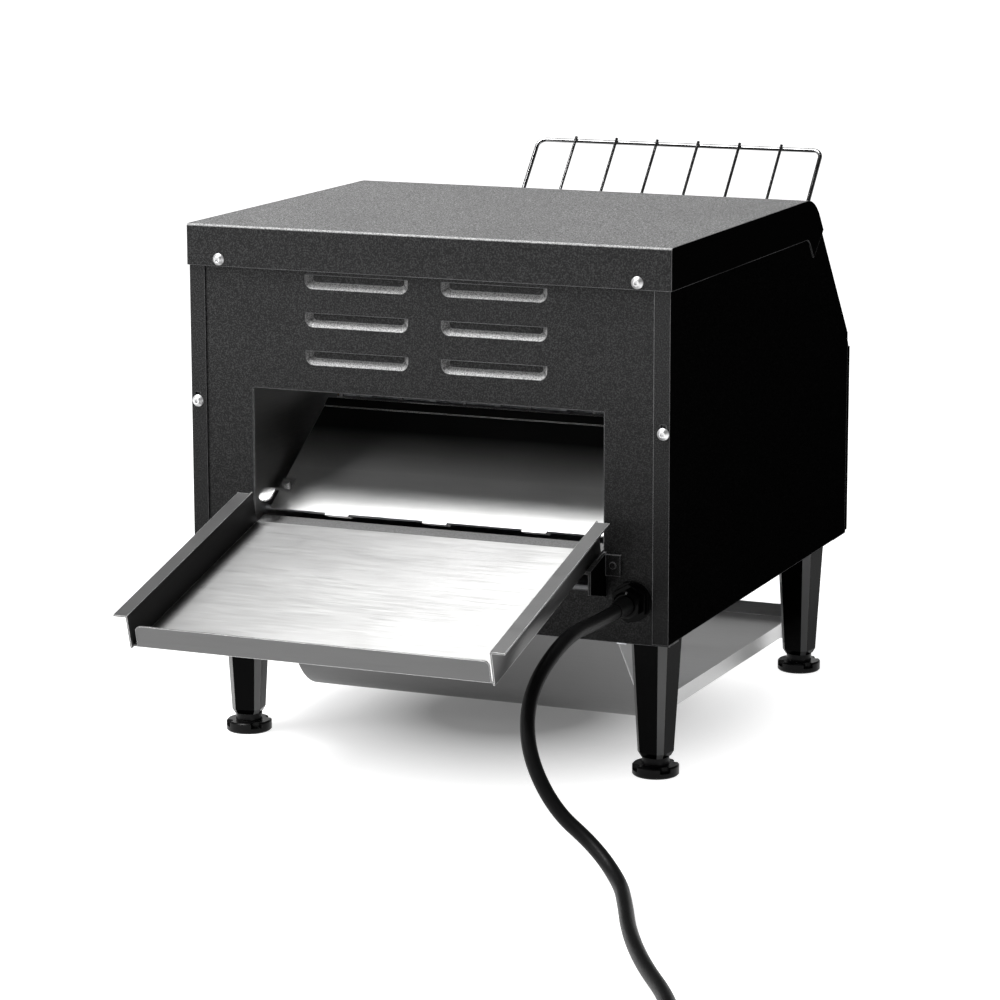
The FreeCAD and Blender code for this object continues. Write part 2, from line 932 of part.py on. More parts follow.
def discharge_handle():
    """A finger lever screwed on the slide's foot, bent up to a tongue with a rounded end."""
    x_span = (handle_place - handle_width / 2, handle_place + handle_width / 2)
    high = slide_barrel_radius + handle_rise
    round_place = handle_width / 2 - handle_reach
    corners = [
        slide_point(handle_foot_end, slide_barrel_radius),
        slide_point(handle_foot_start, slide_barrel_radius),
        slide_point(-handle_top, high),
        slide_point(round_place, high),
    ]
    lever = bent_sheet(corners, [0, handle_bend, handle_bend, 0], -handle_sheet, x_span)
    out = V(0, math.sin(slide_angle), math.cos(slide_angle))
    tip_centre = place(handle_place, *slide_point(round_place, high))
    tip = Part.makeCylinder(handle_width / 2, handle_sheet, tip_centre, out)
    foot_middle = (handle_foot_start + handle_foot_end) / 2
    screw_seat = place(handle_place, *slide_point(foot_middle, slide_barrel_radius + handle_sheet))
    screw = Part.makeCylinder(handle_screw_radius, handle_screw_height, screw_seat, out)
    return join([lever, tip, screw])


def discharge_rod():
    """The rod that the slide turns on, held in the inner walls."""
    reach = inner_face + inner_sheet
    return rod_x((-reach, reach), slide_pivot_depth, slide_pivot_height, slide_rod_radius)


# Lower toast tray

def lower_toast_tray():
    """A return tray: a curved chute behind, a floor with low rims, and ears that hang on the rails."""
    half = lower_width / 2
    top = rail_sheet - rail_drop + lower_sheet
    ear_end = (lower_top_depth + lower_ear, top)
    bend = (lower_bend_depth, lower_floor_height(lower_bend_depth))
    corners = [ear_end, (lower_top_depth, top), bend, (lower_front, lower_front_height)]
    sheet = bent_sheet(corners, [0, fold_radius, lower_bend_radius, 0], lower_sheet, (-half, half))
    ear = slab(
        (-lower_ear_half, lower_ear_half),
        (lower_top_depth + fold_radius, ear_end[0]),
        (top - lower_sheet, top),
    )
    parts = [sheet, ear]
    rim_corners = [
        (lower_rim_start, lower_floor_height(lower_rim_start)),
        (lower_front, lower_front_height),
        (lower_front, lower_front_height + lower_rim),
        (lower_rim_start, lower_floor_height(lower_rim_start) + lower_rim),
    ]
    rim = profile_bar(rim_corners, None, (half - lower_sheet, half))
    front = slab(
        (-half, half),
        (lower_front - lower_sheet, lower_front),
        (lower_front_height, lower_front_height + lower_rim),
    )
    parts += [rim, mirror_x(rim), front]
    return join(parts)


# Feed rack

def rack_frame(shape):
    """Turns a shape drawn flat about the rack's pivot, with Y up the rack, to the rack's angle."""
    moved = shape.copy()
    moved.rotate(V(0, 0, 0), V(0, 0, 1), 180)
    moved.rotate(V(0, 0, 0), V(1, 0, 0), -math.degrees(rack_angle))
    moved.translate(place(0, rack_pivot_depth, rack_pivot_height))
    return moved


def feed_rack():
    """A bent wire frame with six cross wires, its ends turned out into the inner walls."""
    half = rack_width / 2
    reach = inner_face + inner_sheet
    centre = half - rack_corner
    top = rack_length - rack_corner
    low = rack_corner
    foot = half + low
    diagonal = rack_corner * math.sqrt(0.5)
    lower_bend = V(foot - diagonal, low - diagonal, 0)
    upper_bend = V(centre + diagonal, top + diagonal, 0)
    parts = []
    edges = [
        Part.LineSegment(V(reach, 0, 0), V(foot, 0, 0)).toShape(),
        Part.Arc(V(foot, 0, 0), lower_bend, V(half, low, 0)).toShape(),
        Part.LineSegment(V(half, low, 0), V(half, top, 0)).toShape(),
        Part.Arc(V(half, top, 0), upper_bend, V(centre, rack_length, 0)).toShape(),
        Part.LineSegment(V(centre, rack_length, 0), V(-centre, rack_length, 0)).toShape(),
        Part.Arc(V(-centre, rack_length, 0), V(-upper_bend.x, upper_bend.y, 0), V(-half, top, 0)).toShape(),
        Part.LineSegment(V(-half, top, 0), V(-half, low, 0)).toShape(),
        Part.Arc(V(-half, low, 0), V(-lower_bend.x, lower_bend.y, 0), V(-foot, 0, 0)).toShape(),
        Part.LineSegment(V(-foot, 0, 0), V(-reach, 0, 0)).toShape(),
    ]
    section = Part.Wire(Part.Circle(V(reach, 0, 0), V(1, 0, 0), rack_wire).toShape())
    parts.append(Part.Wire(edges).makePipeShell([section], True, False))
    bottom_bar = Part.makeCylinder(rack_cross_wire, rack_width, V(-half, rack_cross_start, 0), V(1, 0, 0))
    parts.append(bottom_bar)
    lift = rack_wire + rack_cross_wire - running_clearance * 4
    for i in range(rack_cross_count):
        x = (i - (rack_cross_count - 1) / 2) * rack_cross_pitch
        length = rack_length + rack_cross_past - rack_cross_start
        parts.append(Part.makeCylinder(rack_cross_wire, length, V(x, rack_cross_start, lift), V(0, 1, 0)))
        parts.append(Part.makeCylinder(rack_cross_wire, lift, V(x, rack_cross_start, 0), V(0, 0, 1)))
    return rack_frame(join(parts))


# Legs

def leg_wire(size, chamfer, height):
    """The chamfered square section of a leg at a height, about its own axis."""
    half = size / 2
    flat = half - chamfer
    points = [
        V(half, flat, height), V(flat, half, height), V(-flat, half, height), V(-half, flat, height),
        V(-half, -flat, height), V(-flat, -half, height), V(flat, -half, height), V(half, -flat, height),
    ]
    return Part.makePolygon(points + points[:1])


def leg(side, depth):
    """A tapered plastic leg, bored for its levelling foot."""
    small = leg_chamfer * leg_bottom / leg_top
    end = leg_chamfer * leg_end / leg_top
    sections = [
        leg_wire(leg_top, leg_chamfer, 0),
        leg_wire(leg_top, leg_chamfer, -leg_collar_height),
        leg_wire(leg_bottom, small, leg_end_height - leg_height),
        leg_wire(leg_end, end, -leg_height),
    ]
    body = Part.makeLoft(sections, True, True)
    bore_radius = foot_stud_radius + running_clearance
    bore = Part.makeCylinder(bore_radius, leg_bore_depth, V(0, 0, -leg_height), V(0, 0, 1))
    body = body.cut(bore)
    body.rotate(V(0, 0, 0), V(0, 0, 1), side * leg_turn)
    body.translate(place(side * (half_width - leg_inset), depth, 0))
    return body


def foot(side, depth):
    """A levelling foot: a notched disc with a neck and a stud."""
    disc_bottom = -ground_clearance
    disc_top = disc_bottom + foot_disc_height
    x = side * (half_width - leg_inset)
    disc = rod_z(x, depth, (disc_bottom, disc_top), foot_disc_radius)
    disc = disc.makeChamfer(foot_edge, [e for e in disc.Edges if len(e.Vertexes) == 1])
    for i in range(foot_notches):
        angle = 2 * math.pi * (i + 0.5) / foot_notches
        centre_x = x + foot_disc_radius * math.cos(angle)
        centre_depth = depth + foot_disc_radius * math.sin(angle)
        disc = disc.cut(
            rod_z(centre_x, centre_depth, (disc_top - foot_disc_height / 2, disc_top + overrun), foot_notch)
        )
    neck = rod_z(x, depth, (disc_top, -leg_height), foot_neck_radius)
    stud = rod_z(x, depth, (-leg_height, foot_stud_length - leg_height), foot_stud_radius)
    return join([disc, neck, stud])


# Conveyor

def loop_outline(x, near, far, grow):
    """The closed path round two wheels, given as depth, height and radius, grown outwards, as a wire."""
    d0, h0, r0 = near
    d1, h1, r1 = far
    r0 += grow
    r1 += grow
    span = math.hypot(d1 - d0, h1 - h0)
    lean = math.atan2(h1 - h0, d1 - d0)
    tilt = math.acos((r0 - r1) / span)
    points = []
    for turn in (tilt, -tilt):
        a = lean + turn
        points.append((d0 + r0 * math.cos(a), h0 + r0 * math.sin(a)))
        points.append((d1 + r1 * math.cos(a), h1 + r1 * math.sin(a)))
    back = (d0 - r0 * math.cos(lean), h0 - r0 * math.sin(lean))
    front = (d1 + r1 * math.cos(lean), h1 + r1 * math.sin(lean))
    upper0, upper1, lower0, lower1 = [place(x, *p) for p in points]
    return Part.Wire(
        [
            Part.LineSegment(upper0, upper1).toShape(),
            Part.Arc(upper1, place(x, *front), lower1).toShape(),
            Part.LineSegment(lower1, lower0).toShape(),
            Part.Arc(lower0, place(x, *back), upper0).toShape(),
        ]
    )


def loop_strip(x_span, near, far, thickness):
    """A closed strip round two wheels."""
    x0, x1 = sorted(x_span)
    outer = Part.Face(loop_outline(x0, near, far, thickness / 2))
    inner = Part.Face(loop_outline(x0, near, far, -thickness / 2))
    return outer.cut(inner).extrude(V(x1 - x0, 0, 0))


def ladder(strips, rod_span, near, far, thickness, rod_radius, pitch):
    """A closed loop of strips with rods across it, evenly spaced at about the given pitch."""
    parts = [loop_strip(span, near, far, thickness) for span in strips]
    path = loop_outline(rod_span[0], near, far, 0)
    for point in path.discretize(round(path.Length / pitch) + 1)[:-1]:
        parts.append(Part.makeCylinder(rod_radius, rod_span[1] - rod_span[0], point, V(1, 0, 0)))
    return join(parts)


def conveyor_belt():
    """The wire belt: cross rods joined by link strips."""
    half = belt_width / 2
    strips = []
    for share in belt_strip_share:
        x = share * (half - belt_strip_width / 2)
        strips.append((x - belt_strip_width / 2, x + belt_strip_width / 2))
    near = (idler_depth, shaft_height, belt_radius)
    far = (drive_depth, shaft_height, belt_radius)
    return ladder(strips, (-half, half), near, far, belt_strip, belt_rod_radius, belt_rod_pitch)


def drive_shaft():
    """The driven shaft, long enough on one side to carry the chain wheel."""
    short = inner_face + inner_sheet + bush_length + shaft_past
    return rod_x((-short, chain_plane + chain_hub_length), drive_depth, shaft_height, shaft_radius)


def idler_shaft():
    """The shaft at the discharge end of the belt."""
    short = inner_face + inner_sheet + bush_length + shaft_past
    return rod_x((-short, short), idler_depth, shaft_height, shaft_radius)


def wheel(x, depth, height, radius, thickness, notches, notch, hub_radius, hub_span, bore):
    """A notched wheel along X with a hub, bored for its shaft."""
    disc = rod_x((x - thickness / 2, x + thickness / 2), depth, height, radius)
    for i in range(notches):
        angle = 2 * math.pi * i / notches
        disc = disc.cut(
            rod_x(
                (x - thickness, x + thickness),
                depth + radius * math.cos(angle),
                height + radius * math.sin(angle),
                notch,
            )
        )
    hub = rod_x(hub_span, depth, height, hub_radius)
    return join([disc, hub]).cut(rod_x((hub_span[0] - overrun, hub_span[1] + overrun), depth, height, bore))


def belt_sprockets(depth):
    """Five sprockets on a shaft."""
    wheels = []
    for share in sprocket_share:
        x = share * belt_width / 2
        hub = (x - sprocket_hub_length / 2, x + sprocket_hub_length / 2)
        wheels.append(
            wheel(
                x, depth, shaft_height, sprocket_radius, sprocket_thickness, sprocket_notches, sprocket_notch,
                sprocket_hub, hub, shaft_radius + running_clearance,
            )
        )
    return group(wheels)


def shaft_bushes():
    """Four flanged bushes in the inner walls."""
    bushes = []
    start = inner_face
    wall = inner_face + inner_sheet
    for depth in (drive_depth, idler_depth):
        barrel = rod_x((start, wall + bush_length), depth, shaft_height, bush_radius)
        flange = rod_x((wall, wall + bush_flange), depth, shaft_height, bush_flange_radius)
        bore_span = (start - overrun, wall + bush_length + overrun)
        bore = rod_x(bore_span, depth, shaft_height, shaft_radius + running_clearance)
        bush = join([barrel, flange]).cut(bore)
        bushes += [bush, mirror_x(bush)]
    return group(bushes)


# Drive

def chain_wheel():
    """The wheel that drives the belt's shaft."""
    half = chain_wheel_thickness / 2
    hub = (chain_plane - half - chain_hub_length, chain_plane + half)
    return wheel(
        chain_plane,
        drive_depth,
        shaft_height,
        chain_wheel_radius,
        chain_wheel_thickness,
        2 * sprocket_notches,
        chain_roller_radius,
        chain_hub_radius,
        hub,
        shaft_radius + running_clearance,
    )


def motor_wheel():
    """The small wheel and output shaft of the gear motor."""
    hub = (chain_plane - chain_wheel_thickness / 2 - seat_gap, chain_plane + chain_hub_length)
    disc = wheel(
        chain_plane, motor_depth, motor_height, motor_wheel_radius, chain_wheel_thickness, sprocket_notches,
        chain_roller_radius, motor_hub_radius, hub, motor_shaft_radius / 2,
    )
    start = inner_face + inner_sheet + gearbox_thickness - motor_shaft_bore
    shaft = rod_x((start, chain_plane + chain_hub_length), motor_depth, motor_height, motor_shaft_radius)
    return join([disc, shaft])


def drive_chain():
    """The chain from the motor to the belt's shaft: two rows of side plates with rollers between."""
    inner = chain_gap / 2
    outer = inner + chain_plate_thickness
    strips = [(chain_plane - outer, chain_plane - inner), (chain_plane + inner, chain_plane + outer)]
    near = (motor_depth, motor_height, motor_pitch_radius)
    far = (drive_depth, shaft_height, chain_pitch_radius)
    span = (chain_plane - inner, chain_plane + inner)
    return ladder(strips, span, near, far, chain_plate, chain_roller_radius, chain_roller_pitch)


def gear_motor():
    """A small geared motor on the outside of an inner wall."""
    start = inner_face + inner_sheet
    gearbox = profile_bar(
        [
            (motor_depth - gearbox_length / 2, motor_height - gearbox_height / 2),
            (motor_depth - gearbox_length / 2, motor_height + gearbox_height / 2),
            (motor_depth + gearbox_length / 2, motor_height + gearbox_height / 2),
            (motor_depth + gearbox_length / 2, motor_height - gearbox_height / 2),
        ],
        [gearbox_corner] * 4,
        (start, start + gearbox_thickness),
    )
    bore = rod_x(
        (start + gearbox_thickness - motor_shaft_bore, start + gearbox_thickness + overrun),
        motor_depth, motor_height, motor_shaft_radius + running_clearance,
    )
    rear = motor_depth - gearbox_length / 2
    core_start = start + (gearbox_thickness - motor_width / 2) / 2
    core = slab(
        (core_start, core_start + motor_width / 2),
        (rear - motor_length / 2, rear),
        (motor_height - motor_core_height / 2, motor_height + motor_core_height / 2),
    )
    can_x = core_start + motor_width / 4 + gearbox_corner
    can = Part.makeCylinder(motor_can_radius, motor_length, place(can_x, rear, motor_height), V(0, 1, 0))
    return join([gearbox, core, can]).cut(bore)


# Heating

def heater_tubes():
    """Quartz heating tubes across the chamber, above and below the belt."""
    half = tube_length / 2
    return group([rod_x((-half, half), depth, height, tube_radius) for depth, height in tube_places])


def heater_caps():
    """Ceramic end caps that hold the tubes outside the inner walls."""
    caps = []
    start = inner_face + inner_sheet
    for depth, height in tube_places:
        cap = rod_x((start, start + cap_length), depth, height, cap_radius)
        socket = rod_x((start - overrun, tube_length / 2), depth, height, tube_radius + running_clearance)
        cap = cap.cut(socket)
        caps += [cap, mirror_x(cap)]
    return group(caps)


def upper_reflector():
    """The bright sheet above the upper tubes."""
    corners = [
        (baffle_depth, reflector_height),
        (reflector_front, reflector_height),
        (reflector_front + reflector_front_rise / slope_tan, reflector_height + reflector_front_rise),
    ]
    return bent_sheet(corners, [0, fold_radius, 0], inner_sheet, (-inner_face, inner_face))


def rear_baffle():
    """The ceiling behind the belt, from the opening's top edge up to the reflector, with a short lip."""
    corners = [
        (baffle_lip_depth, baffle_lip_height),
        (baffle_lip_depth, baffle_level),
        (baffle_level_end, baffle_level),
        (baffle_depth, reflector_height),
    ]
    return bent_sheet(corners, [0, fold_radius, fold_radius, 0], -inner_sheet, (-inner_face, inner_face))


def lower_reflector():
    """The sheet below the belt, with a flange at each end."""
    corners = [
        (lower_reflector_start, lower_reflector_height + reflector_flange),
        (lower_reflector_start, lower_reflector_height),
        (lower_reflector_end, lower_reflector_height),
        (lower_reflector_end, lower_reflector_height + reflector_flange),
    ]
    return bent_sheet(corners, [0, fold_radius, fold_radius, 0], inner_sheet, (-inner_face, inner_face))


# Cooling and wiring

def fan_frame():
    """An axial fan's square frame on four posts, with a hub carried by four arms."""
    half = fan_size / 2
    near = fan_standoff
    far = fan_standoff + fan_thickness
    points = [
        place(fan_place - half, far, fan_height - half),
        place(fan_place + half, far, fan_height - half),
        place(fan_place + half, far, fan_height + half),
        place(fan_place - half, far, fan_height + half),
    ]
    frame = Part.Face(fillet_wire(points, [fan_corner] * 4)).extrude(V(0, fan_thickness, 0))
    frame = frame.cut(rod_y(fan_place, (near - overrun, far + overrun), fan_height, fan_bore))
    hub_end = far - fan_hub_plate
    parts = [frame, rod_y(fan_place, (hub_end, far), fan_height, fan_hub_radius)]
    parts.append(rod_y(fan_place, (hub_end - fan_pin_length, hub_end), fan_height, fan_pin_radius))
    arm_x = slab(
        (fan_place - fan_size / 2, fan_place + fan_size / 2),
        (hub_end, far),
        (fan_height - fan_arm / 2, fan_height + fan_arm / 2),
    )
    arm_z = slab(
        (fan_place - fan_arm / 2, fan_place + fan_arm / 2),
        (hub_end, far),
        (fan_height - fan_size / 2, fan_height + fan_size / 2),
    )
    parts += [arm_x, arm_z]
    for x_side in (-1, 1):
        for z_side in (-1, 1):
            x = fan_place + x_side * (half - fan_post_inset)
            height = fan_height + z_side * (half - fan_post_inset)
            parts.append(rod_y(x, (case_sheet, near), height, fan_post_radius))
    return join(parts)


def fan_rotor():
    """The fan's hub and seven pitched blades."""
    far = fan_standoff + fan_thickness - fan_hub_plate - seat_gap
    near = far - rotor_thickness
    parts = [rod_y(fan_place, (near, far), fan_height, rotor_hub_radius)]
    middle = (near + far) / 2
    for i in range(rotor_blades):
        root = rotor_hub_radius / 2
        corner = V(root, -rotor_blade / 2, -rotor_thickness / 2)
        blade = Part.makeBox(rotor_radius - root, rotor_blade, rotor_thickness, corner)
        blade.rotate(V(0, 0, 0), V(1, 0, 0), rotor_blade_turn)
        blade.rotate(V(0, 0, 0), V(1, 0, 0), 90)
        blade.rotate(V(0, 0, 0), V(0, 1, 0), 360 * i / rotor_blades)
        blade.translate(place(fan_place, middle, fan_height))
        parts.append(blade)
    disc = rod_y(fan_place, (near, far), fan_height, rotor_radius)
    rotor = join(parts).common(disc)
    bore_span = (far - fan_pin_length - seat_gap, far + overrun)
    return rotor.cut(rod_y(fan_place, bore_span, fan_height, fan_pin_radius + running_clearance))


def terminal_block():
    """The block where the cord's cores are joined to the machine's wiring."""
    half = terminal_width / 2
    block = slab(
        (terminal_place - half, terminal_place + half),
        (terminal_depth, terminal_depth + terminal_length),
        (case_sheet, terminal_height),
    )
    pitch = terminal_length / terminal_slots
    for i in range(terminal_slots):
        depth = terminal_depth + (i + 0.5) * pitch
        block = block.cut(
            slab(
                (terminal_place + half - terminal_slot, terminal_place + half + overrun),
                (depth - terminal_slot / 2, depth + terminal_slot / 2),
                (terminal_height - terminal_slot, terminal_height + overrun),
            )
        )
    return block


# Controls

def control_bodies():
    """The speed and heat controls behind the front panel."""
    face = body_depth - case_sheet
    bodies = []
    for x in (heat_place, speed_place):
        body = rod_y(x, (face - control_body_length, face), control_height, control_body_radius)
        bore_span = (face - control_body_length + overrun, face + overrun)
        bodies.append(body.cut(rod_y(x, bore_span, control_height, spindle_radius + running_clearance)))
    return group(bodies)


def knob(x):
    """A round knob with a grip bar, on its spindle."""
    near = body_depth + knob_gap
    skirt = rod_y(x, (near, near + knob_skirt), control_height, knob_radius)
    end = near + knob_height
    face = place(x, end, control_height)
    barrel = Part.makeCone(knob_radius - knob_skirt, knob_radius, knob_height - knob_skirt, face, V(0, 1, 0))
    for side in (-1, 1):
        beside_grip = slab(
            (x + side * knob_grip / 2, x + side * knob_radius),
            (end - knob_grip_height, end + overrun),
            (control_height - knob_radius, control_height + knob_radius),
        )
        barrel = barrel.cut(beside_grip)
    start = body_depth - case_sheet - control_body_length + overrun + seat_gap
    spindle = rod_y(x, (start, near + knob_skirt), control_height, spindle_radius)
    return join([skirt, barrel, spindle])


def power_switch():
    """The switch's housing, open in front for its rocker."""
    half = switch_width / 2
    high = switch_height / 2
    bezel = slab(
        (rocker_place - half - switch_bezel, rocker_place + half + switch_bezel),
        (body_depth, body_depth + switch_bezel_height),
        (control_height - high - switch_bezel, control_height + high + switch_bezel),
    )
    body = slab(
        (rocker_place - half, rocker_place + half),
        (body_depth - switch_body_depth, body_depth),
        (control_height - high, control_height + high),
    )
    well = slab(
        (rocker_place - half + switch_wall, rocker_place + half - switch_wall),
        (body_depth - switch_body_depth + switch_wall, body_depth + overrun),
        (control_height - high + switch_wall, control_height + high - switch_wall),
    )
    pin_hole = rod_x(
        (rocker_place - half - overrun, rocker_place + half + overrun),
        body_depth - rocker_pivot_depth, control_height, rocker_pin_radius + running_clearance,
    )
    return join([bezel, body]).cut(well).cut(pin_hole)


def power_rocker():
    """The rocker, resting tilted in its off position, with its pivot pin."""
    half = switch_width / 2 - switch_wall - seat_gap
    high = switch_height / 2 - 2 * switch_wall - seat_gap
    face = body_depth + switch_bezel_height
    corners = [
        (body_depth - rocker_pivot_depth - rocker_stand, control_height - high / 2),
        (body_depth - rocker_pivot_depth, control_height - high),
        (face + rocker_dip, control_height - high),
        (face, control_height),
        (face + rocker_dip, control_height + high),
        (body_depth - rocker_pivot_depth, control_height + high),
        (body_depth - rocker_pivot_depth - rocker_stand, control_height + high / 2),
    ]
    paddle = profile_bar(corners, None, (rocker_place - half, rocker_place + half))
    pivot = body_depth - rocker_pivot_depth
    pin_span = (rocker_place - switch_width / 2, rocker_place + switch_width / 2)
    rocker = join([paddle, rod_x(pin_span, pivot, control_height, rocker_pin_radius)])
    centre = place(rocker_place, pivot, control_height)
    rocker.rotate(centre, V(1, 0, 0), rocker_tilt)
    return rocker


def indicator_lamps():
    """Two round indicator lamps in the front panel."""
    lamps = []
    for step in (0, 1):
        x = lamp_place + step * lamp_pitch
        body = rod_y(x, (body_depth - lamp_body, body_depth), control_height, lamp_radius)
        flange = rod_y(x, (body_depth, body_depth + lamp_flange), control_height, lamp_flange_radius)
        dome_end = place(x, body_depth + lamp_flange + lamp_dome, control_height)
        dome = Part.makeCone(lamp_radius / 2, lamp_radius, lamp_dome, dome_end, V(0, 1, 0))
        lamps.append(join([body, flange, dome]))
    return group(lamps)


def cover_screws():
    """Four pan head screws: two through the rear band and two in the keyholes of the side covers."""
    screws = []
    for side in (-1, 1):
        for inset, height, surface in (
            (keyhole_inset, keyhole_height, case_sheet),
            (band_screw_inset, band_screw_height, 2 * case_sheet),
        ):
            x = side * (half_width - inset)
            shank = rod_y(x, (-surface, screw_length - surface), height, screw_radius)
            seat = place(x, -surface, height)
            top = screw_head_radius / 2
            head = Part.makeCone(screw_head_radius, top, screw_head_height, seat, V(0, 1, 0))
            head_end = -surface - screw_head_height
            socket_span = (head_end - overrun, head_end + screw_socket_depth)
            socket = rod_y(x, socket_span, height, screw_socket_radius)
            screws.append(join([shank, head]).cut(socket))
    return group(screws)


# Gland, cord and plug

def hex_bar(flats, depth_span):
    """A hexagonal bar on the gland's axis."""
    radius = flats / math.sqrt(3)
    d0, d1 = sorted(depth_span)
    points = []
    for i in range(6):
        angle = math.pi * (i + 0.5) / 3
        x = gland_place + radius * math.cos(angle)
        points.append(place(x, d1, gland_height + radius * math.sin(angle)))
    return Part.Face(Part.makePolygon(points + points[:1])).extrude(V(0, d1 - d0, 0))


gland_body_end = gland_flange + gland_body_hex
gland_cap_end = gland_body_end + gland_cap_hex + gland_cap_cone
cord_start = gland_cap_end - sleeve_socket + sleeve_length
plug_radius = cord_radius + coil_rest + coil_rise - cord_rest


def cable_gland():
    """The gland's body in the rear panel, with its lock nut inside."""
    shank_end = case_sheet + gland_lock_nut + running_clearance
    shank = rod_y(gland_place, (0, shank_end), gland_height, gland_shank_radius)
    nut = hex_bar(gland_body_flats, (case_sheet, case_sheet + gland_lock_nut))
    flange = rod_y(gland_place, (-gland_flange, 0), gland_height, gland_flange_radius)
    body = hex_bar(gland_body_flats, (-gland_body_end, -gland_flange))
    return join([shank, nut, flange, body])


def gland_cap():
    """The gland's clamping cap, which closes on the cord's sleeve."""
    hex_end = -gland_body_end - gland_cap_hex
    nut = hex_bar(gland_cap_flats, (hex_end, -gland_body_end))
    base = place(gland_place, hex_end, gland_height)
    cone = Part.makeCone(gland_cap_flats / 2, gland_cap_radius, gland_cap_cone, base, V(0, 1, 0))
    socket_span = (-gland_cap_end - overrun, sleeve_socket - gland_cap_end)
    socket = rod_y(gland_place, socket_span, gland_height, sleeve_radius)
    return join([nut, cone]).cut(socket)


def cord_sleeve():
    """The tapered sleeve round the cord where it leaves the gland."""
    start = place(gland_place, sleeve_socket - gland_cap_end, gland_height)
    return Part.makeCone(sleeve_radius, sleeve_end_radius, sleeve_length, start, V(0, 1, 0))


def rounded_route(points):
    """An open path of straight runs joined by tangent arcs, each as large as its two runs allow."""
    edges = []
    radii = []
    cursor = points[0]
    for before, here, after in zip(points, points[1:], points[2:]):
        back = before - here
        ahead = after - here
        run = cord_bend_share * min(back.Length, ahead.Length)
        half_turn = (math.pi - back.getAngle(ahead)) / 2
        radius = run / math.tan(half_turn)
        start = here + back.normalize() * run
        end = here + ahead.normalize() * run
        middle = here + (back + ahead).normalize() * (radius / math.cos(half_turn) - radius)
        edges.append(Part.LineSegment(cursor, start).toShape())
        edges.append(Part.Arc(start, middle, end).toShape())
        radii.append(radius)
        cursor = end
    edges.append(Part.LineSegment(cursor, points[-1]).toShape())
    return Part.Wire(edges), radii


def swept_tube(path, start, heading):
    """A round tube of the cord's thickness along a path."""
    section = Part.Wire(Part.Circle(start, heading, cord_radius).toShape())
    return path.makePipeShell([section], True, False)


def free_points():
    """The corner points of the cord from its sleeve to the straight end of its coil."""
    points = [place(gland_place, -cord_start, gland_height)]
    points += [place(x, depth, height) for x, depth, height in cord_route]
    heading = (points[-1] - points[-2]).normalize()
    points[-1] = points[-1] - heading * (2 * cord_radius)
    return points


def power_cord():
    """The cord from its sleeve, down to the floor and away behind the machine to its coil."""
    points = free_points()
    path, radii = rounded_route(points)
    tube = swept_tube(path, points[0], points[1] - points[0])
    section = math.pi * cord_radius ** 2
    print("cord bends", [round(radius) for radius in radii], "length", round(path.Length, 1))
    print("cord volume over section times length", round(tube.Volume / (section * path.Length), 4))
    return tube


def coil_axes():
    """The coil's first point, its heading there and the direction from its centre to that point."""
    start = place(*cord_route[-1])
    heading = (start - place(*cord_route[-2])).normalize()
    outwards = V(-heading.y, heading.x, 0)
    return start, heading, outwards


def coil_edges():
    """The half turns of the coil: a spiral inwards on the floor, one half turn that climbs,
    and a spiral outwards on top. It starts and ends straight for a cord's thickness."""
    start, heading, outwards = coil_axes()
    here = start
    edges = [Part.LineSegment(start - heading * (2 * cord_radius), start).toShape()]
    steps = list(range(coil_half_turns)) + [coil_half_turns] + list(range(coil_half_turns - 1, -1, -1))
    for i, step in enumerate(steps):
        side = 1 if i % 2 == 0 else -1
        radius = coil_radius - step * coil_spacing / 2
        rise = coil_rise if step == coil_half_turns else 0
        follower = here - outwards * (2 * radius * side) + V(0, 0, rise)
        centre = (here + follower) / 2
        middle = centre + heading * (side * (follower - here).Length / 2)
        edges.append(Part.Arc(here, middle, follower).toShape())
        here = follower
    edges.append(Part.LineSegment(here, here - heading * (2 * cord_radius)).toShape())
    return edges


def coil_gap(path, turn):
    """The least gap between the coil's turns, measured on points along it."""
    points = path.discretize(coil_measures * len(path.Edges))
    spacing = path.Length / (len(points) - 1)
    apart = int(turn / spacing)
    gaps = []
    for i, point in enumerate(points):
        gaps += [point.distanceToPoint(other) for other in points[i + apart:]]
    return min(gaps) - 2 * cord_radius


def cord_coil():
    """The rest of the cord, wound into a neat coil in two layers."""
    edges = coil_edges()
    path = Part.Wire(edges)
    start, heading, outwards = coil_axes()
    tube = swept_tube(path, start - heading * (2 * cord_radius), heading)
    gap = coil_gap(path, math.pi * coil_radius / 2)
    print("coil length", round(path.Length, 1), "least gap", round(gap, 2))
    return tube


def coil_frame(out, up, along):
    """A point given outwards from the coil's middle towards the machine, up from the floor and across."""
    start, heading, outwards = coil_axes()
    middle = start - outwards * (coil_radius + coil_spacing / 2)
    return V(middle.x, middle.y, 0) - heading * out + outwards * along + V(0, 0, up)


def coil_tie():
    """A flat strap round the coil's turns."""
    near = coil_radius - 3 * coil_spacing / 2 - cord_radius - tie_gap
    far = coil_radius - coil_spacing / 2 + cord_radius + tie_gap
    low = tie_sheet
    high = coil_rest + 2 * cord_radius + coil_rise + tie_gap
    solids = []
    for grow in (tie_sheet, 0):
        corners = [
            coil_frame(near - grow, low - grow, -tie_width / 2),
            coil_frame(far + grow, low - grow, -tie_width / 2),
            coil_frame(far + grow, high + grow, -tie_width / 2),
            coil_frame(near - grow, high + grow, -tie_width / 2),
        ]
        across = coil_frame(0, 0, tie_width) - coil_frame(0, 0, 0)
        solids.append(Part.Face(fillet_wire(corners, [tie_corner + grow] * 4)).extrude(across))
    return solids[0].cut(solids[1])


def plug_axes():
    """The end of the coiled cord and the direction in which the plug carries on."""
    last = coil_edges()[-1]
    start, heading, outwards = coil_axes()
    return last.Vertexes[-1].Point, -heading, outwards


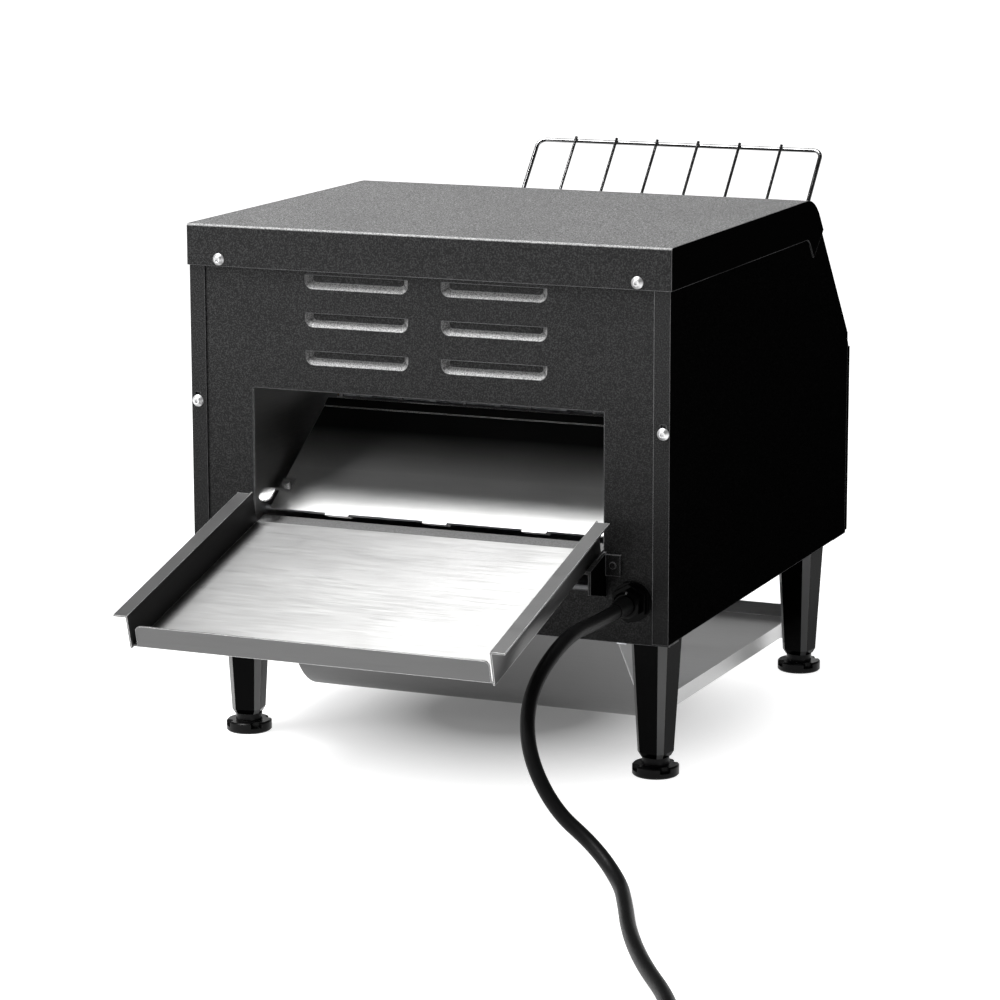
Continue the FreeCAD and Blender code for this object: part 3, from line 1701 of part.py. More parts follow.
def plug_body():
    """A moulded mains plug with a tapered neck, lying on the floor beside the coil."""
    start, along, across = plug_axes()
    neck_end = start + along * plug_neck_length
    neck = Part.makeCone(sleeve_end_radius, plug_neck_radius, plug_neck_length, start, along)
    body = Part.makeCylinder(plug_radius, plug_length, neck_end, along)
    body = body.makeChamfer(plug_edge, [e for e in body.Edges if len(e.Vertexes) == 1])
    return join([neck, body]).cut(plug_pins())


def plug_pins():
    """The plug's two round pins."""
    start, along, across = plug_axes()
    face = start + along * (plug_neck_length + plug_length)
    pins = []
    for side in (-1, 1):
        root = face + across * (side * plug_pin_spacing / 2) - along * plug_pin_seat
        pins.append(Part.makeCylinder(plug_pin_radius, plug_pin_seat + plug_pin_length, root, along))
    return group(pins)


nodes = {
    "top_cover": top_cover,
    "left_side_cover": lambda: side_cover(-1),
    "right_side_cover": lambda: side_cover(1),
    "rear_panel": rear_panel,
    "front_panel": front_panel,
    "loading_frame": loading_frame,
    "base_plate": base_plate,
    "tray_rails": tray_rails,
    "front_tray_strap": front_tray_strap,
    "left_inner_wall": lambda: inner_wall(-1),
    "right_inner_wall": lambda: inner_wall(1),
    "rear_cross_member": rear_cross_member,
    "rear_toast_tray": rear_toast_tray,
    "tray_brackets": tray_brackets,
    "discharge_slide": discharge_slide,
    "discharge_handle": discharge_handle,
    "discharge_rod": discharge_rod,
    "lower_toast_tray": lower_toast_tray,
    "feed_rack": feed_rack,
    "rear_left_leg": lambda: leg(-1, rear_leg_depth),
    "rear_right_leg": lambda: leg(1, rear_leg_depth),
    "front_left_leg": lambda: leg(-1, front_leg_depth),
    "front_right_leg": lambda: leg(1, front_leg_depth),
    "rear_left_foot": lambda: foot(-1, rear_leg_depth),
    "rear_right_foot": lambda: foot(1, rear_leg_depth),
    "front_left_foot": lambda: foot(-1, front_leg_depth),
    "front_right_foot": lambda: foot(1, front_leg_depth),
    "conveyor_belt": conveyor_belt,
    "drive_shaft": drive_shaft,
    "idler_shaft": idler_shaft,
    "drive_sprockets": lambda: belt_sprockets(drive_depth),
    "idler_sprockets": lambda: belt_sprockets(idler_depth),
    "shaft_bushes": shaft_bushes,
    "chain_wheel": chain_wheel,
    "motor_wheel": motor_wheel,
    "drive_chain": drive_chain,
    "gear_motor": gear_motor,
    "heater_tubes": heater_tubes,
    "heater_caps": heater_caps,
    "upper_reflector": upper_reflector,
    "rear_baffle": rear_baffle,
    "lower_reflector": lower_reflector,
    "fan_frame": fan_frame,
    "fan_rotor": fan_rotor,
    "terminal_block": terminal_block,
    "control_bodies": control_bodies,
    "heat_knob": lambda: knob(heat_place),
    "speed_knob": lambda: knob(speed_place),
    "power_switch": power_switch,
    "power_rocker": power_rocker,
    "indicator_lamps": indicator_lamps,
    "cover_screws": cover_screws,
    "cable_gland": cable_gland,
    "gland_cap": gland_cap,
    "cord_sleeve": cord_sleeve,
    "power_cord": power_cord,
    "cord_coil": cord_coil,
    "coil_tie": coil_tie,
    "plug_body": plug_body,
    "plug_pins": plug_pins,
}
cord_nodes = ["cord_sleeve", "power_cord", "cord_coil", "coil_tie", "plug_body", "plug_pins"]

os.makedirs("parts", exist_ok=True)
whole = FreeCAD.BoundBox()
for name, make in nodes.items():
    shape = make()
    shape.exportStep("parts/" + name + ".step")
    if name not in cord_nodes:
        whole.add(shape.BoundBox)
    solids = len(shape.Solids)
    print(name, "solids", solids, "valid", shape.isValid(), "volume", round(shape.Volume, 1))
print("rear face Y", round(rear_y, 3), "bounds", whole)
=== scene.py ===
import math

import bpy
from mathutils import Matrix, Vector


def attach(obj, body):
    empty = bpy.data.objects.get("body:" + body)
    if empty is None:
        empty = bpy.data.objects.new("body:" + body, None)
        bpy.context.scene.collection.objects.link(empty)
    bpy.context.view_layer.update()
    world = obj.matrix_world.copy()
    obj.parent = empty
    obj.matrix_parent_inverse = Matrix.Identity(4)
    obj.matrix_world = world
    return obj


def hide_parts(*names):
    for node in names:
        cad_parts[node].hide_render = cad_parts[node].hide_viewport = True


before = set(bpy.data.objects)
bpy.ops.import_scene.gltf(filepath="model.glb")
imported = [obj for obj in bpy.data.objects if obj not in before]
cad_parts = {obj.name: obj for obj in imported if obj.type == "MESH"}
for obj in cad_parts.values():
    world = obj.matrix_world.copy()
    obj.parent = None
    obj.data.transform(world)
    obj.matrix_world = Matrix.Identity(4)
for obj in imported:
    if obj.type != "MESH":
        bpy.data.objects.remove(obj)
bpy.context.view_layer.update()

# Looks for a conveyor toaster, seen from behind. Everything is in metres, in the model's own frame.

MM = 0.001


# Camera

CAMERA_TURN = math.radians(180 + 22.21)
CAMERA_PITCH = math.radians(10.74)
CAMERA_PLACE = (-1001.4 * MM, 2402.07 * MM, 692.1 * MM)
CAMERA_LENS = 127.25
CAMERA_SENSOR = 36
CAMERA_SHIFT = (-0.0387, -0.0468)
CAMERA_REACH = 50


def make_camera():
    """The camera that stands where the photograph was taken from."""
    data = bpy.data.cameras.new("camera")
    data.lens = CAMERA_LENS
    data.sensor_width = CAMERA_SENSOR
    data.shift_x, data.shift_y = CAMERA_SHIFT
    data.dof.use_dof = False
    data.clip_end = CAMERA_REACH
    camera = bpy.data.objects.new("camera", data)
    camera.location = CAMERA_PLACE
    camera.rotation_euler = (math.pi / 2 - CAMERA_PITCH, 0, CAMERA_TURN)
    bpy.context.scene.collection.objects.link(camera)
    bpy.context.scene.camera = camera


# Node helpers

class Shader:
    """A material's node tree, with short calls for the nodes that repeat."""

    def __init__(self, name):
        self.material = bpy.data.materials.new(name)
        self.material.use_nodes = True
        self.tree = self.material.node_tree
        self.tree.nodes.clear()
        self.output = self.tree.nodes.new("ShaderNodeOutputMaterial")

    def node(self, kind, inputs=None, **settings):
        """A node with its settings, and its inputs as values or links by name or number."""
        made = self.tree.nodes.new(kind)
        for key, value in settings.items():
            setattr(made, key, value)
        for key, value in (inputs or {}).items():
            if isinstance(value, bpy.types.NodeSocket):
                self.tree.links.new(value, made.inputs[key])
            else:
                made.inputs[key].default_value = value
        return made

    def place(self, scale=(1, 1, 1)):
        """Object coordinates in metres, scaled."""
        here = self.node("ShaderNodeTexCoord").outputs["Object"]
        return self.node("ShaderNodeMapping", {"Vector": here, "Scale": scale}).outputs[0]

    def dot(self, a, b):
        """How far one vector reaches along another."""
        return self.node("ShaderNodeVectorMath", {0: a, 1: b}, operation="DOT_PRODUCT").outputs["Value"]

    def straight(self):
        """The face's own normal, without smoothing or bump."""
        return self.node("ShaderNodeNewGeometry").outputs["True Normal"]

    def cornered(self):
        """One half on upright faces turned 45 degrees, and none on those square to the machine."""
        facing = self.node("ShaderNodeSeparateXYZ", {0: self.straight()}).outputs
        return self.combine(self.combine(facing["X"], facing["Y"], "MULTIPLY"), 0, "ABSOLUTE")

    def noise(self, vector, scale, detail=2.0, roughness=0.5):
        """Noise about one half."""
        made = self.node(
            "ShaderNodeTexNoise", {"Vector": vector, "Scale": scale, "Detail": detail, "Roughness": roughness}
        )
        return made.outputs["Fac"]

    def spread(self, value, low, high, to_low, to_high):
        """A value's range mapped to another, clamped."""
        made = self.node(
            "ShaderNodeMapRange",
            {"Value": value, "From Min": low, "From Max": high, "To Min": to_low, "To Max": to_high},
        )
        return made.outputs[0]

    def combine(self, a, b, operation="ADD"):
        """Two values combined."""
        return self.node("ShaderNodeMath", {0: a, 1: b}, operation=operation).outputs[0]

    def blend(self, factor, low, high):
        """A colour between two by a factor."""
        made = self.node("ShaderNodeMix", {"Factor": factor}, data_type="RGBA")
        for socket, value in ((made.inputs[6], low), (made.inputs[7], high)):
            if isinstance(value, bpy.types.NodeSocket):
                self.tree.links.new(value, socket)
            else:
                socket.default_value = (*value, 1)
        return made.outputs[2]

    def edges(self, radius, low, high):
        """One along sharp edges and none on flat faces."""
        rounded = self.node("ShaderNodeBevel", {"Radius": radius}, samples=6).outputs[0]
        return self.spread(self.dot(rounded, self.straight()), high, low, 0, 1)

    def grain_tangent(self, along):
        """The direction across a brushed grain, lying in the surface."""
        grain = [0.01, 0.01, 0.01]
        grain["XYZ".index(along)] = 1.0
        crossed = self.node("ShaderNodeVectorMath", {0: self.straight(), 1: grain}, operation="CROSS_PRODUCT")
        return crossed.outputs[0]

    def bump(self, height, strength, distance, edge=0.0):
        """A bumped normal, over edges rounded in the shading."""
        inputs = {"Height": height, "Strength": strength, "Distance": distance}
        if edge:
            inputs["Normal"] = self.node("ShaderNodeBevel", {"Radius": edge}, samples=4).outputs[0]
        return self.node("ShaderNodeBump", inputs).outputs[0]

    def surface(self, **inputs):
        """A principled surface as the material's output."""
        named = {key.replace("_", " "): value for key, value in inputs.items()}
        shader = self.node("ShaderNodeBsdfPrincipled", named)
        self.tree.links.new(shader.outputs[0], self.output.inputs[0])
        return self.material


# Materials

UP = (0, 0, 1)
BACKWARDS = (0, 1, 0)

# Millimetres from the middle to the rear face, from the floor to the body, and from there to the tray.
REAR = 161.466
GROUND = 104.0
TRAY_SEAT = 62.8
TRAY_SLOPE = math.radians(14.8)

# The coat's painted light: paler grains on top faces, highlights on slants, rounded corners and edges, and
# shade low down.
COAT_UPWARD_HIGHLIGHT = (0.4, 0.4, 0.4)
COAT_SLANT_HIGHLIGHT = (0.55, 0.55, 0.55)
COAT_LOW_SHADE = (0.004, 0.004, 0.004)
COAT_EDGE_HIGHLIGHT = (0.42, 0.42, 0.43)

# Steel's painted edge highlight, and its painted shade on the slide, the tray's walls, the chute and one
# corner of the tray.
STEEL_EDGE_HIGHLIGHT = (0.95, 0.95, 0.95)
SLIDE_SHADE_TONE = 0.04
TRAY_WALL_SHADE_TONE = 0.14
CHUTE_SHADE_TONE = 0.2
TRAY_CORNER_SHADE_TONE = 0.36

# Where tones change from one to the other, in metres along a direction.
COAT_SHADE_HEIGHTS = (0.1, 0.3)
SLIDE_SHADE_HEIGHTS = (0.199, 0.223)
CHUTE_SHADE_REACH = (0.02, 0.07)
TRAY_CORNER_SHADE_WAY = (0.8, -0.6, 0)
TRAY_CORNER_SHADE_REACH = (-0.2, 0.02)


def powder_coat(name, ground, grains, gloss, sheen=0.27, side_shading=0.003):
    """Fine black texture paint: a dark ground with lighter grains, a pebbled surface and painted highlights
    on edges.
    Upright faces that look sideways have a tone of their own and no sheen: painted shade where that tone is
    dark, a painted highlight where it is light.
    Faces that look up have paler grains as a painted highlight, low places are darker as painted shade, and
    slanting faces and rounded corners are lighter as a painted highlight."""
    s = Shader(name)
    at = s.place()
    grain = s.noise(at, scale=1150, detail=1, roughness=0.5)
    pebble = s.noise(at, scale=620, detail=1, roughness=0.5)
    patch = s.noise(at, scale=9, detail=3)
    facing = s.node("ShaderNodeSeparateXYZ", {0: s.straight()}).outputs
    upwards = s.spread(facing["Z"], 0.8, 0.95, 0, 1)
    sideways = s.spread(s.combine(facing["X"], 2.0, "POWER"), 0.3, 0.8, 0, 1)
    slanting = s.spread(s.combine(facing["Y"], facing["Z"], "MULTIPLY"), 0.12, 0.4, 0, 1)
    # Slanting faces and rounded corners lighter: a painted highlight, broken up by the grain.
    slant_highlight = s.combine(slanting, s.spread(s.cornered(), 0.44, 0.49, 0, 0.7), "MAXIMUM")
    slant_highlight = s.combine(slant_highlight, s.spread(grain, 0.35, 0.6, 0.35, 1), "MULTIPLY")
    speckle = s.spread(grain, 0.48, 0.66, 0, 1)
    # Darker low down: painted shade, which also lowers the sheen there.
    low_shade = s.spread(s.dot(at, UP), *COAT_SHADE_HEIGHTS, 0.85, 0)
    tone = s.blend(speckle, ground, grains)
    # Paler grains on faces that look up: a painted highlight.
    tone = s.blend(s.combine(speckle, upwards, "MULTIPLY"), tone, COAT_UPWARD_HIGHLIGHT)
    tone = s.blend(s.spread(patch, 0.3, 0.7, 0, 0.3), tone, ground)
    tone = s.blend(slant_highlight, tone, COAT_SLANT_HIGHLIGHT)
    tone = s.blend(low_shade, tone, COAT_LOW_SHADE)
    # Faces that look sideways get a tone of their own and no sheen: painted shade on the covers' sides, a
    # painted highlight on the rear panel's.
    painted_side_tone = s.blend(speckle, (side_shading, side_shading, side_shading), (side_shading * 3, side_shading * 3, side_shading * 3))
    tone = s.blend(sideways, tone, painted_side_tone)
    edges = s.edges(radius=1.1 * MM, low=0.75, high=0.98)
    # Lighter edges: a painted highlight, broken up in patches.
    edge_highlight = s.combine(edges, s.spread(patch, 0.3, 0.6, 0.45, 1), "MULTIPLY")
    tone = s.blend(edge_highlight, tone, COAT_EDGE_HIGHLIGHT)
    rough = s.spread(pebble, 0.3, 0.7, gloss, gloss + 0.18)
    shine = s.spread(grain, 0.42, 0.68, 0.6 * sheen, 1.6 * sheen)
    shine = s.combine(shine, s.spread(low_shade, 0, 1, 1, 0.35), "MULTIPLY")
    height = s.combine(pebble, s.combine(grain, 0.5, "MULTIPLY"))
    normal = s.bump(height, strength=0.7, distance=0.4 * MM, edge=0.7 * MM)
    return s.surface(
        Base_Color=tone, Roughness=rough, Normal=normal,
        Specular_IOR_Level=s.combine(shine, s.spread(sideways, 0, 1, 1, 0), "MULTIPLY"),
    )


def brushed(name, tone, along, rough=0.34, streak=0.1, painted_shades=(), upright=None):
    """Brushed stainless steel: a grain along an axis that spreads light across it, soft marks, and edges
    lightened as a painted highlight.
    A tint is painted shade: a direction, two distances along it between which the steel darkens, and the
    darker tone.
    Faces across an upright direction have the tone of the tint along it too."""
    s = Shader(name)
    across = [2600.0, 2600.0, 2600.0]
    across["XYZ".index(along)] = 14.0
    fine = s.noise(s.place(tuple(across)), scale=1, detail=3, roughness=0.7)
    across["XYZ".index(along)] = 90.0
    short = s.noise(s.place(tuple(across)), scale=0.35, detail=2, roughness=0.6)
    smear = s.noise(s.place(), scale=18, detail=4, roughness=0.6)
    lines = s.combine(s.combine(fine, 0.6, "MULTIPLY"), s.combine(short, 0.4, "MULTIPLY"))
    dark = tuple(value * (1 - streak) for value in tone)
    light = tuple(min(value * (1 + streak), 1) for value in tone)
    colour = s.blend(s.spread(lines, 0.3, 0.7, 0, 1), dark, light)
    # Each tint is a painted shade.
    for direction, low, high, darker in painted_shades:
        share = s.spread(s.dot(s.place(), direction), low, high, 0, 1)
        if direction == upright:
            flatness = s.combine(s.dot(s.straight(), upright), 0, "ABSOLUTE")
            share = s.combine(share, s.spread(flatness, 0.6, 0.9, 1, 0), "MAXIMUM")
        colour = s.blend(share, colour, (darker, darker, darker))
    # Lighter edges: a painted highlight.
    colour = s.blend(s.edges(radius=0.8 * MM, low=0.75, high=0.97), colour, STEEL_EDGE_HIGHLIGHT)
    marks = s.spread(smear, 0.35, 0.75, 0, 0.03)
    dull = s.combine(s.spread(lines, 0.3, 0.7, rough - 0.05, rough + 0.07), marks)
    normal = s.bump(lines, strength=0.12, distance=0.2 * MM, edge=0.4 * MM)
    return s.surface(
        Base_Color=colour, Metallic=1.0, Roughness=dull, Normal=normal,
        Anisotropic=0.85, Tangent=s.grain_tangent(along),
    )


def zinc():
    """Zinc plated steel with a faint spangle."""
    s = Shader("zinc_plate")
    cells = s.node("ShaderNodeTexVoronoi", {"Vector": s.place(), "Scale": 160.0}).outputs["Color"]
    value = s.node("ShaderNodeSeparateColor", {0: cells}).outputs[0]
    colour = s.blend(value, (0.42, 0.43, 0.45), (0.6, 0.61, 0.63))
    smear = s.noise(s.place(), scale=40, detail=3)
    rough = s.spread(smear, 0.3, 0.7, 0.3, 0.48)
    normal = s.bump(smear, strength=0.1, distance=0.3 * MM, edge=0.4 * MM)
    return s.surface(Base_Color=colour, Metallic=1.0, Roughness=rough, Normal=normal)


def chrome():
    """Polished wire with slight waviness."""
    s = Shader("chrome_wire")
    wave = s.noise(s.place(), scale=220, detail=2)
    rough = s.spread(wave, 0.3, 0.7, 0.07, 0.18)
    colour = s.blend(wave, (0.15, 0.15, 0.152), (0.3, 0.3, 0.303))
    normal = s.bump(wave, strength=0.08, distance=0.3 * MM)
    return s.surface(Base_Color=colour, Metallic=1.0, Roughness=rough, Normal=normal)


def plated_screw():
    """Bright plated screw heads with a fine turned grain."""
    s = Shader("plated_screw")
    grain = s.noise(s.place(), scale=1500, detail=2)
    colour = s.blend(grain, (0.75, 0.75, 0.76), (0.95, 0.95, 0.95))
    rough = s.spread(grain, 0.3, 0.7, 0.4, 0.6)
    normal = s.bump(grain, strength=0.15, distance=0.2 * MM, edge=0.3 * MM)
    return s.surface(Base_Color=colour, Metallic=1.0, Roughness=rough, Normal=normal)


def plastic(name, tone, rough, sheen=0.5, chamfer_highlight=None):
    """Moulded plastic: even, with a faint orange peel and slightly varying gloss. Chamfers can be paler, as a
    painted highlight.
    """
    s = Shader(name)
    peel = s.noise(s.place(), scale=320, detail=2)
    cloud = s.noise(s.place(), scale=30, detail=3)
    colour = s.blend(s.spread(cloud, 0.3, 0.7, 0, 1), tone, tuple(value * 1.35 for value in tone))
    # Paler chamfers: a painted highlight.
    if chamfer_highlight:
        colour = s.blend(s.spread(s.cornered(), 0.2, 0.4, 0, 1), colour, (chamfer_highlight, chamfer_highlight, chamfer_highlight))
    dull = s.spread(cloud, 0.3, 0.7, rough - 0.05, rough + 0.08)
    normal = s.bump(peel, strength=0.06, distance=0.5 * MM, edge=0.6 * MM)
    return s.surface(Base_Color=colour, Roughness=dull, Normal=normal, Specular_IOR_Level=sheen)


def rubber():
    """The cord's matt rubber sheath with a fine drawn grain."""
    s = Shader("cord_rubber")
    fine = s.noise(s.place(), scale=1100, detail=2)
    cloud = s.noise(s.place(), scale=60, detail=3)
    colour = s.blend(cloud, (0.003, 0.003, 0.0031), (0.008, 0.008, 0.0083))
    rough = s.spread(fine, 0.3, 0.7, 0.36, 0.5)
    normal = s.bump(fine, strength=0.12, distance=0.3 * MM)
    return s.surface(Base_Color=colour, Roughness=rough, Normal=normal, Specular_IOR_Level=0.1)


def quartz():
    """Milky heating tubes with a coil's faint lines inside."""
    s = Shader("quartz")
    at = s.place()
    settings = {"Vector": at, "Scale": 130.0, "Distortion": 0.4}
    wave = s.node("ShaderNodeTexWave", settings, bands_direction="X").outputs["Fac"]
    colour = s.blend(wave, (0.62, 0.58, 0.52), (0.82, 0.8, 0.76))
    cloud = s.noise(at, scale=50, detail=2)
    rough = s.spread(cloud, 0.3, 0.7, 0.15, 0.3)
    normal = s.bump(wave, strength=0.1, distance=0.3 * MM)
    return s.surface(Base_Color=colour, Roughness=rough, Normal=normal)


def ceramic():
    """Cream ceramic end caps with a dusty grain."""
    s = Shader("ceramic")
    dust = s.noise(s.place(), scale=500, detail=3)
    colour = s.blend(dust, (0.66, 0.62, 0.54), (0.84, 0.81, 0.74))
    rough = s.spread(dust, 0.3, 0.7, 0.6, 0.8)
    normal = s.bump(dust, strength=0.2, distance=0.3 * MM, edge=0.4 * MM)
    return s.surface(Base_Color=colour, Roughness=rough, Normal=normal)


def bronze():
    """Sintered bronze bushes with fine pores."""
    s = Shader("bronze")
    pores = s.noise(s.place(), scale=900, detail=2)
    colour = s.blend(pores, (0.36, 0.22, 0.1), (0.6, 0.41, 0.22))
    rough = s.spread(pores, 0.3, 0.7, 0.35, 0.55)
    normal = s.bump(pores, strength=0.15, distance=0.2 * MM)
    return s.surface(Base_Color=colour, Metallic=1.0, Roughness=rough, Normal=normal)


def lens():
    """An amber indicator lens with a ribbed inside."""
    s = Shader("amber_lens")
    bands = s.node("ShaderNodeTexWave", {"Vector": s.place(), "Scale": 500.0}, bands_direction="X")
    rings = bands.outputs["Fac"]
    colour = s.blend(rings, (0.5, 0.12, 0.015), (0.85, 0.3, 0.04))
    normal = s.bump(rings, strength=0.15, distance=0.3 * MM, edge=0.3 * MM)
    return s.surface(Base_Color=colour, Roughness=0.12, Transmission_Weight=0.35, Normal=normal)


def pin_brass():
    """Nickel plated plug pins."""
    s = Shader("plug_brass")
    mark = s.noise(s.place((200, 2000, 2000)), scale=1, detail=2)
    colour = s.blend(mark, (0.58, 0.55, 0.47), (0.78, 0.75, 0.68))
    rough = s.spread(mark, 0.3, 0.7, 0.16, 0.3)
    normal = s.bump(mark, strength=0.08, distance=0.2 * MM, edge=0.3 * MM)
    return s.surface(Base_Color=colour, Metallic=1.0, Roughness=rough, Normal=normal)


def dress(material, *names):
    """Gives a material to CAD nodes."""
    for name in names:
        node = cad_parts[name]
        node.data.materials.clear()
        node.data.materials.append(material)


def dress_all(sheath):
    """Every CAD node gets its finish."""
    ground = (0.018, 0.018, 0.0185)
    grains = (0.038, 0.038, 0.039)
    coat = powder_coat("powder_coat", ground, grains, gloss=0.3)
    dress(coat, "top_cover", "left_side_cover", "right_side_cover")
    dress(coat, "front_panel", "loading_frame", "tray_brackets")
    # The rear panel's faces that look sideways are light: a painted highlight.
    dress(powder_coat("panel_coat_lit_sides", ground, grains, gloss=0.3, side_shading=0.25), "rear_panel")
    # The ledge is black coat, given a light grey tone as a painted highlight.
    lit_ledge = powder_coat("ledge_painted_light", ground=(0.35, 0.35, 0.35), grains=(0.9, 0.9, 0.9), gloss=0.3)
    dress(lit_ledge, "rear_cross_member")
    # The tray's walls darker than its floor: painted shade.
    above_floor = (0, math.sin(TRAY_SLOPE), math.cos(TRAY_SLOPE))
    floor_level = Vector((0, REAR, GROUND + TRAY_SEAT)).dot(Vector(above_floor)) * MM
    walls = (above_floor, floor_level + 2 * MM, floor_level + 5 * MM, TRAY_WALL_SHADE_TONE)
    # One corner of the tray darker: painted shade.
    tray_corner_shade = (TRAY_CORNER_SHADE_WAY, *TRAY_CORNER_SHADE_REACH, TRAY_CORNER_SHADE_TONE)
    painted_shades = (tray_corner_shade, walls)
    steel = brushed("brushed_across", (0.62, 0.62, 0.615), "X", painted_shades=painted_shades, upright=above_floor)
    dress(steel, "rear_toast_tray")
    # The slide darker higher up: painted shade.
    slide_shade = (UP, *SLIDE_SHADE_HEIGHTS, SLIDE_SHADE_TONE)
    shaded_slide_steel = brushed("slide_shaded_steel", (0.8, 0.8, 0.795), "X", rough=0.33, streak=0.04, painted_shades=(slide_shade,))
    dress(shaded_slide_steel, "discharge_slide")
    # The lower tray darker towards the rear, over its chute: painted shade.
    chute_shade = (BACKWARDS, *CHUTE_SHADE_REACH, CHUTE_SHADE_TONE)
    chamber = brushed("brushed_chamber", (0.35, 0.35, 0.35), "X")
    dress(chamber, "upper_reflector", "rear_baffle", "lower_reflector")
    wall_steel = brushed("brushed_walls", (0.62, 0.62, 0.62), "Y", rough=0.36)
    dress(wall_steel, "left_inner_wall", "right_inner_wall")
    dress(brushed("brushed_return", (0.6, 0.6, 0.6), "X", rough=0.36, painted_shades=(chute_shade,)), "lower_toast_tray")
    dress(brushed("bright_tab", (0.85, 0.85, 0.85), "X", rough=0.2), "discharge_handle")
    plate = zinc()
    dress(plate, "base_plate", "tray_rails", "front_tray_strap", "discharge_rod", "gear_motor")
    dress(plate, "drive_shaft", "idler_shaft", "drive_sprockets", "idler_sprockets")
    dress(plate, "chain_wheel", "motor_wheel", "drive_chain")
    dress(chrome(), "feed_rack", "conveyor_belt")
    dress(plated_screw(), "cover_screws")
    gloss = plastic("gloss_plastic", (0.001, 0.001, 0.0011), rough=0.12, sheen=0.05)
    dress(gloss, "cable_gland", "gland_cap", "heat_knob", "speed_knob", "power_switch", "power_rocker")
    # The legs' chamfers paler: a painted highlight.
    legs = plastic("leg_plastic", (0.001, 0.001, 0.0011), rough=0.14, sheen=0.03, chamfer_highlight=0.35)
    dress(legs, "rear_left_leg", "rear_right_leg", "front_left_leg", "front_right_leg")
    foot = plastic("foot_plastic", (0.003, 0.003, 0.0032), rough=0.3, sheen=0.12)
    dress(foot, "rear_left_foot", "rear_right_foot", "front_left_foot", "front_right_foot")
    matt = plastic("matt_plastic", (0.03, 0.03, 0.032), rough=0.5)
    dress(matt, "fan_frame", "fan_rotor", "terminal_block", "control_bodies", "plug_body", "coil_tie")
    dress(quartz(), "heater_tubes")
    dress(ceramic(), "heater_caps")
    dress(bronze(), "shaft_bushes")
    dress(lens(), "indicator_lamps")
    dress(pin_brass(), "plug_pins")
    dress(sheath, "cord_sleeve")


# Cord

CORD_RADIUS = 5.0
CORD_START = (-157.0, -34.5, 29.3)
CORD_ROUTE = [
    (-157, -67, 29.3),
    (-154, -117, 31),
    (-146, -162, 4),
    (-154, -187, -29),
    (-177, -197, -64),
    (-208, -202, -84),
    (-234, -224, -98.9),
    (-253, -265, -98.9),
    (-274, -314, -98.9),
    (-303, -367, -98.9),
    (-339, -420, -98.9),
    (-374, -496, -98),
    (-418, -576, -98),
]
COIL_RADIUS = 57.0
COIL_SPACING = 10.9
COIL_RISE = 11.2
COIL_HALF_TURNS = 3
COIL_STEPS = 8


def at(x, depth, height):
    """A point given by width, depth in front of the rear face and height above the body's underside."""
    return Vector((x, REAR - depth, GROUND + height)) * MM


def coil_points():
    """The control points of the coiled rest: half turns inwards, one that climbs, and half turns outwards."""
    here = at(*CORD_ROUTE[-1])
    heading = (here - at(*CORD_ROUTE[-2])).normalized()
    outwards = Vector((-heading.y, heading.x, 0))
    steps = list(range(COIL_HALF_TURNS + 1)) + list(range(COIL_HALF_TURNS - 1, -1, -1))
    points = []
    grow = 1 / math.cos(math.pi / COIL_STEPS / 2) ** 0.5
    for i, step in enumerate(steps):
        side = 1 if i % 2 == 0 else -1
        radius = (COIL_RADIUS - step * COIL_SPACING / 2) * MM
        rise = COIL_RISE * MM if step == COIL_HALF_TURNS else 0
        centre = here - outwards * (radius * side)
        for k in range(COIL_STEPS):
            angle = math.pi * (k + 0.5) / COIL_STEPS
            out = outwards * (side * math.cos(angle)) + heading * (side * math.sin(angle))
            points.append(centre + out * radius * grow + Vector((0, 0, rise * (k + 0.5) / COIL_STEPS)))
        here = here - outwards * (2 * radius * side) + Vector((0, 0, rise))
    points.append(here - heading * (2 * CORD_RADIUS * MM))
    return points


def make_cord(sheath):
    """The whole mains lead as one smooth line, from the gland's sleeve to the plug."""
    points = [at(*CORD_START)] + [at(*point) for point in CORD_ROUTE] + coil_points()
    curve = bpy.data.curves.new("mains_lead", "CURVE")
    curve.dimensions = "3D"
    curve.bevel_depth = CORD_RADIUS * MM
    curve.bevel_resolution = 6
    curve.resolution_u = 10
    curve.use_fill_caps = True
    spline = curve.splines.new("NURBS")
    spline.points.add(len(points) - 1)
    for control, point in zip(spline.points, points):
        control.co = (*point, 1)
    spline.order_u = 3
    spline.use_endpoint_u = True
    lead = bpy.data.objects.new("mains_lead", curve)
    bpy.context.scene.collection.objects.link(lead)
    curve.materials.append(sheath)
    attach(lead, "machine")
    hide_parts("power_cord", "cord_coil")


# Room and light

FLOOR_REACH = 12
SHADOW_HALF_WIDTH = 0.2
SHADOW_HALF_DEPTH = 0.22
SHADOW_CORE = 0.3
SHADOW_RIM = 1.02
SHADOW_GLOW = 0.12
FLOOR_GLOW = 0.94
KEY_PLACE = (0.76, 0.7, 2.4)
KEY_TARGET = (0, 0.1, 0.2)
KEY_SIZE = (0.9, 0.9)
KEY_POWER = 60
SIDE_PLACE = (1.7, 1.5, 1.2)
SIDE_TARGET = (0, 0, 0.2)
SIDE_SIZE = (1.0, 1.0)
SIDE_POWER = 14


def seen_rays(shader):
    """One for the rays that see the background: those of the camera, of reflections and through glass."""
    path = shader.node("ShaderNodeLightPath")
    mirrored = shader.combine(path.outputs["Is Glossy Ray"], path.outputs["Is Transmission Ray"], "MAXIMUM")
    return shader.combine(path.outputs["Is Camera Ray"], mirrored, "MAXIMUM")


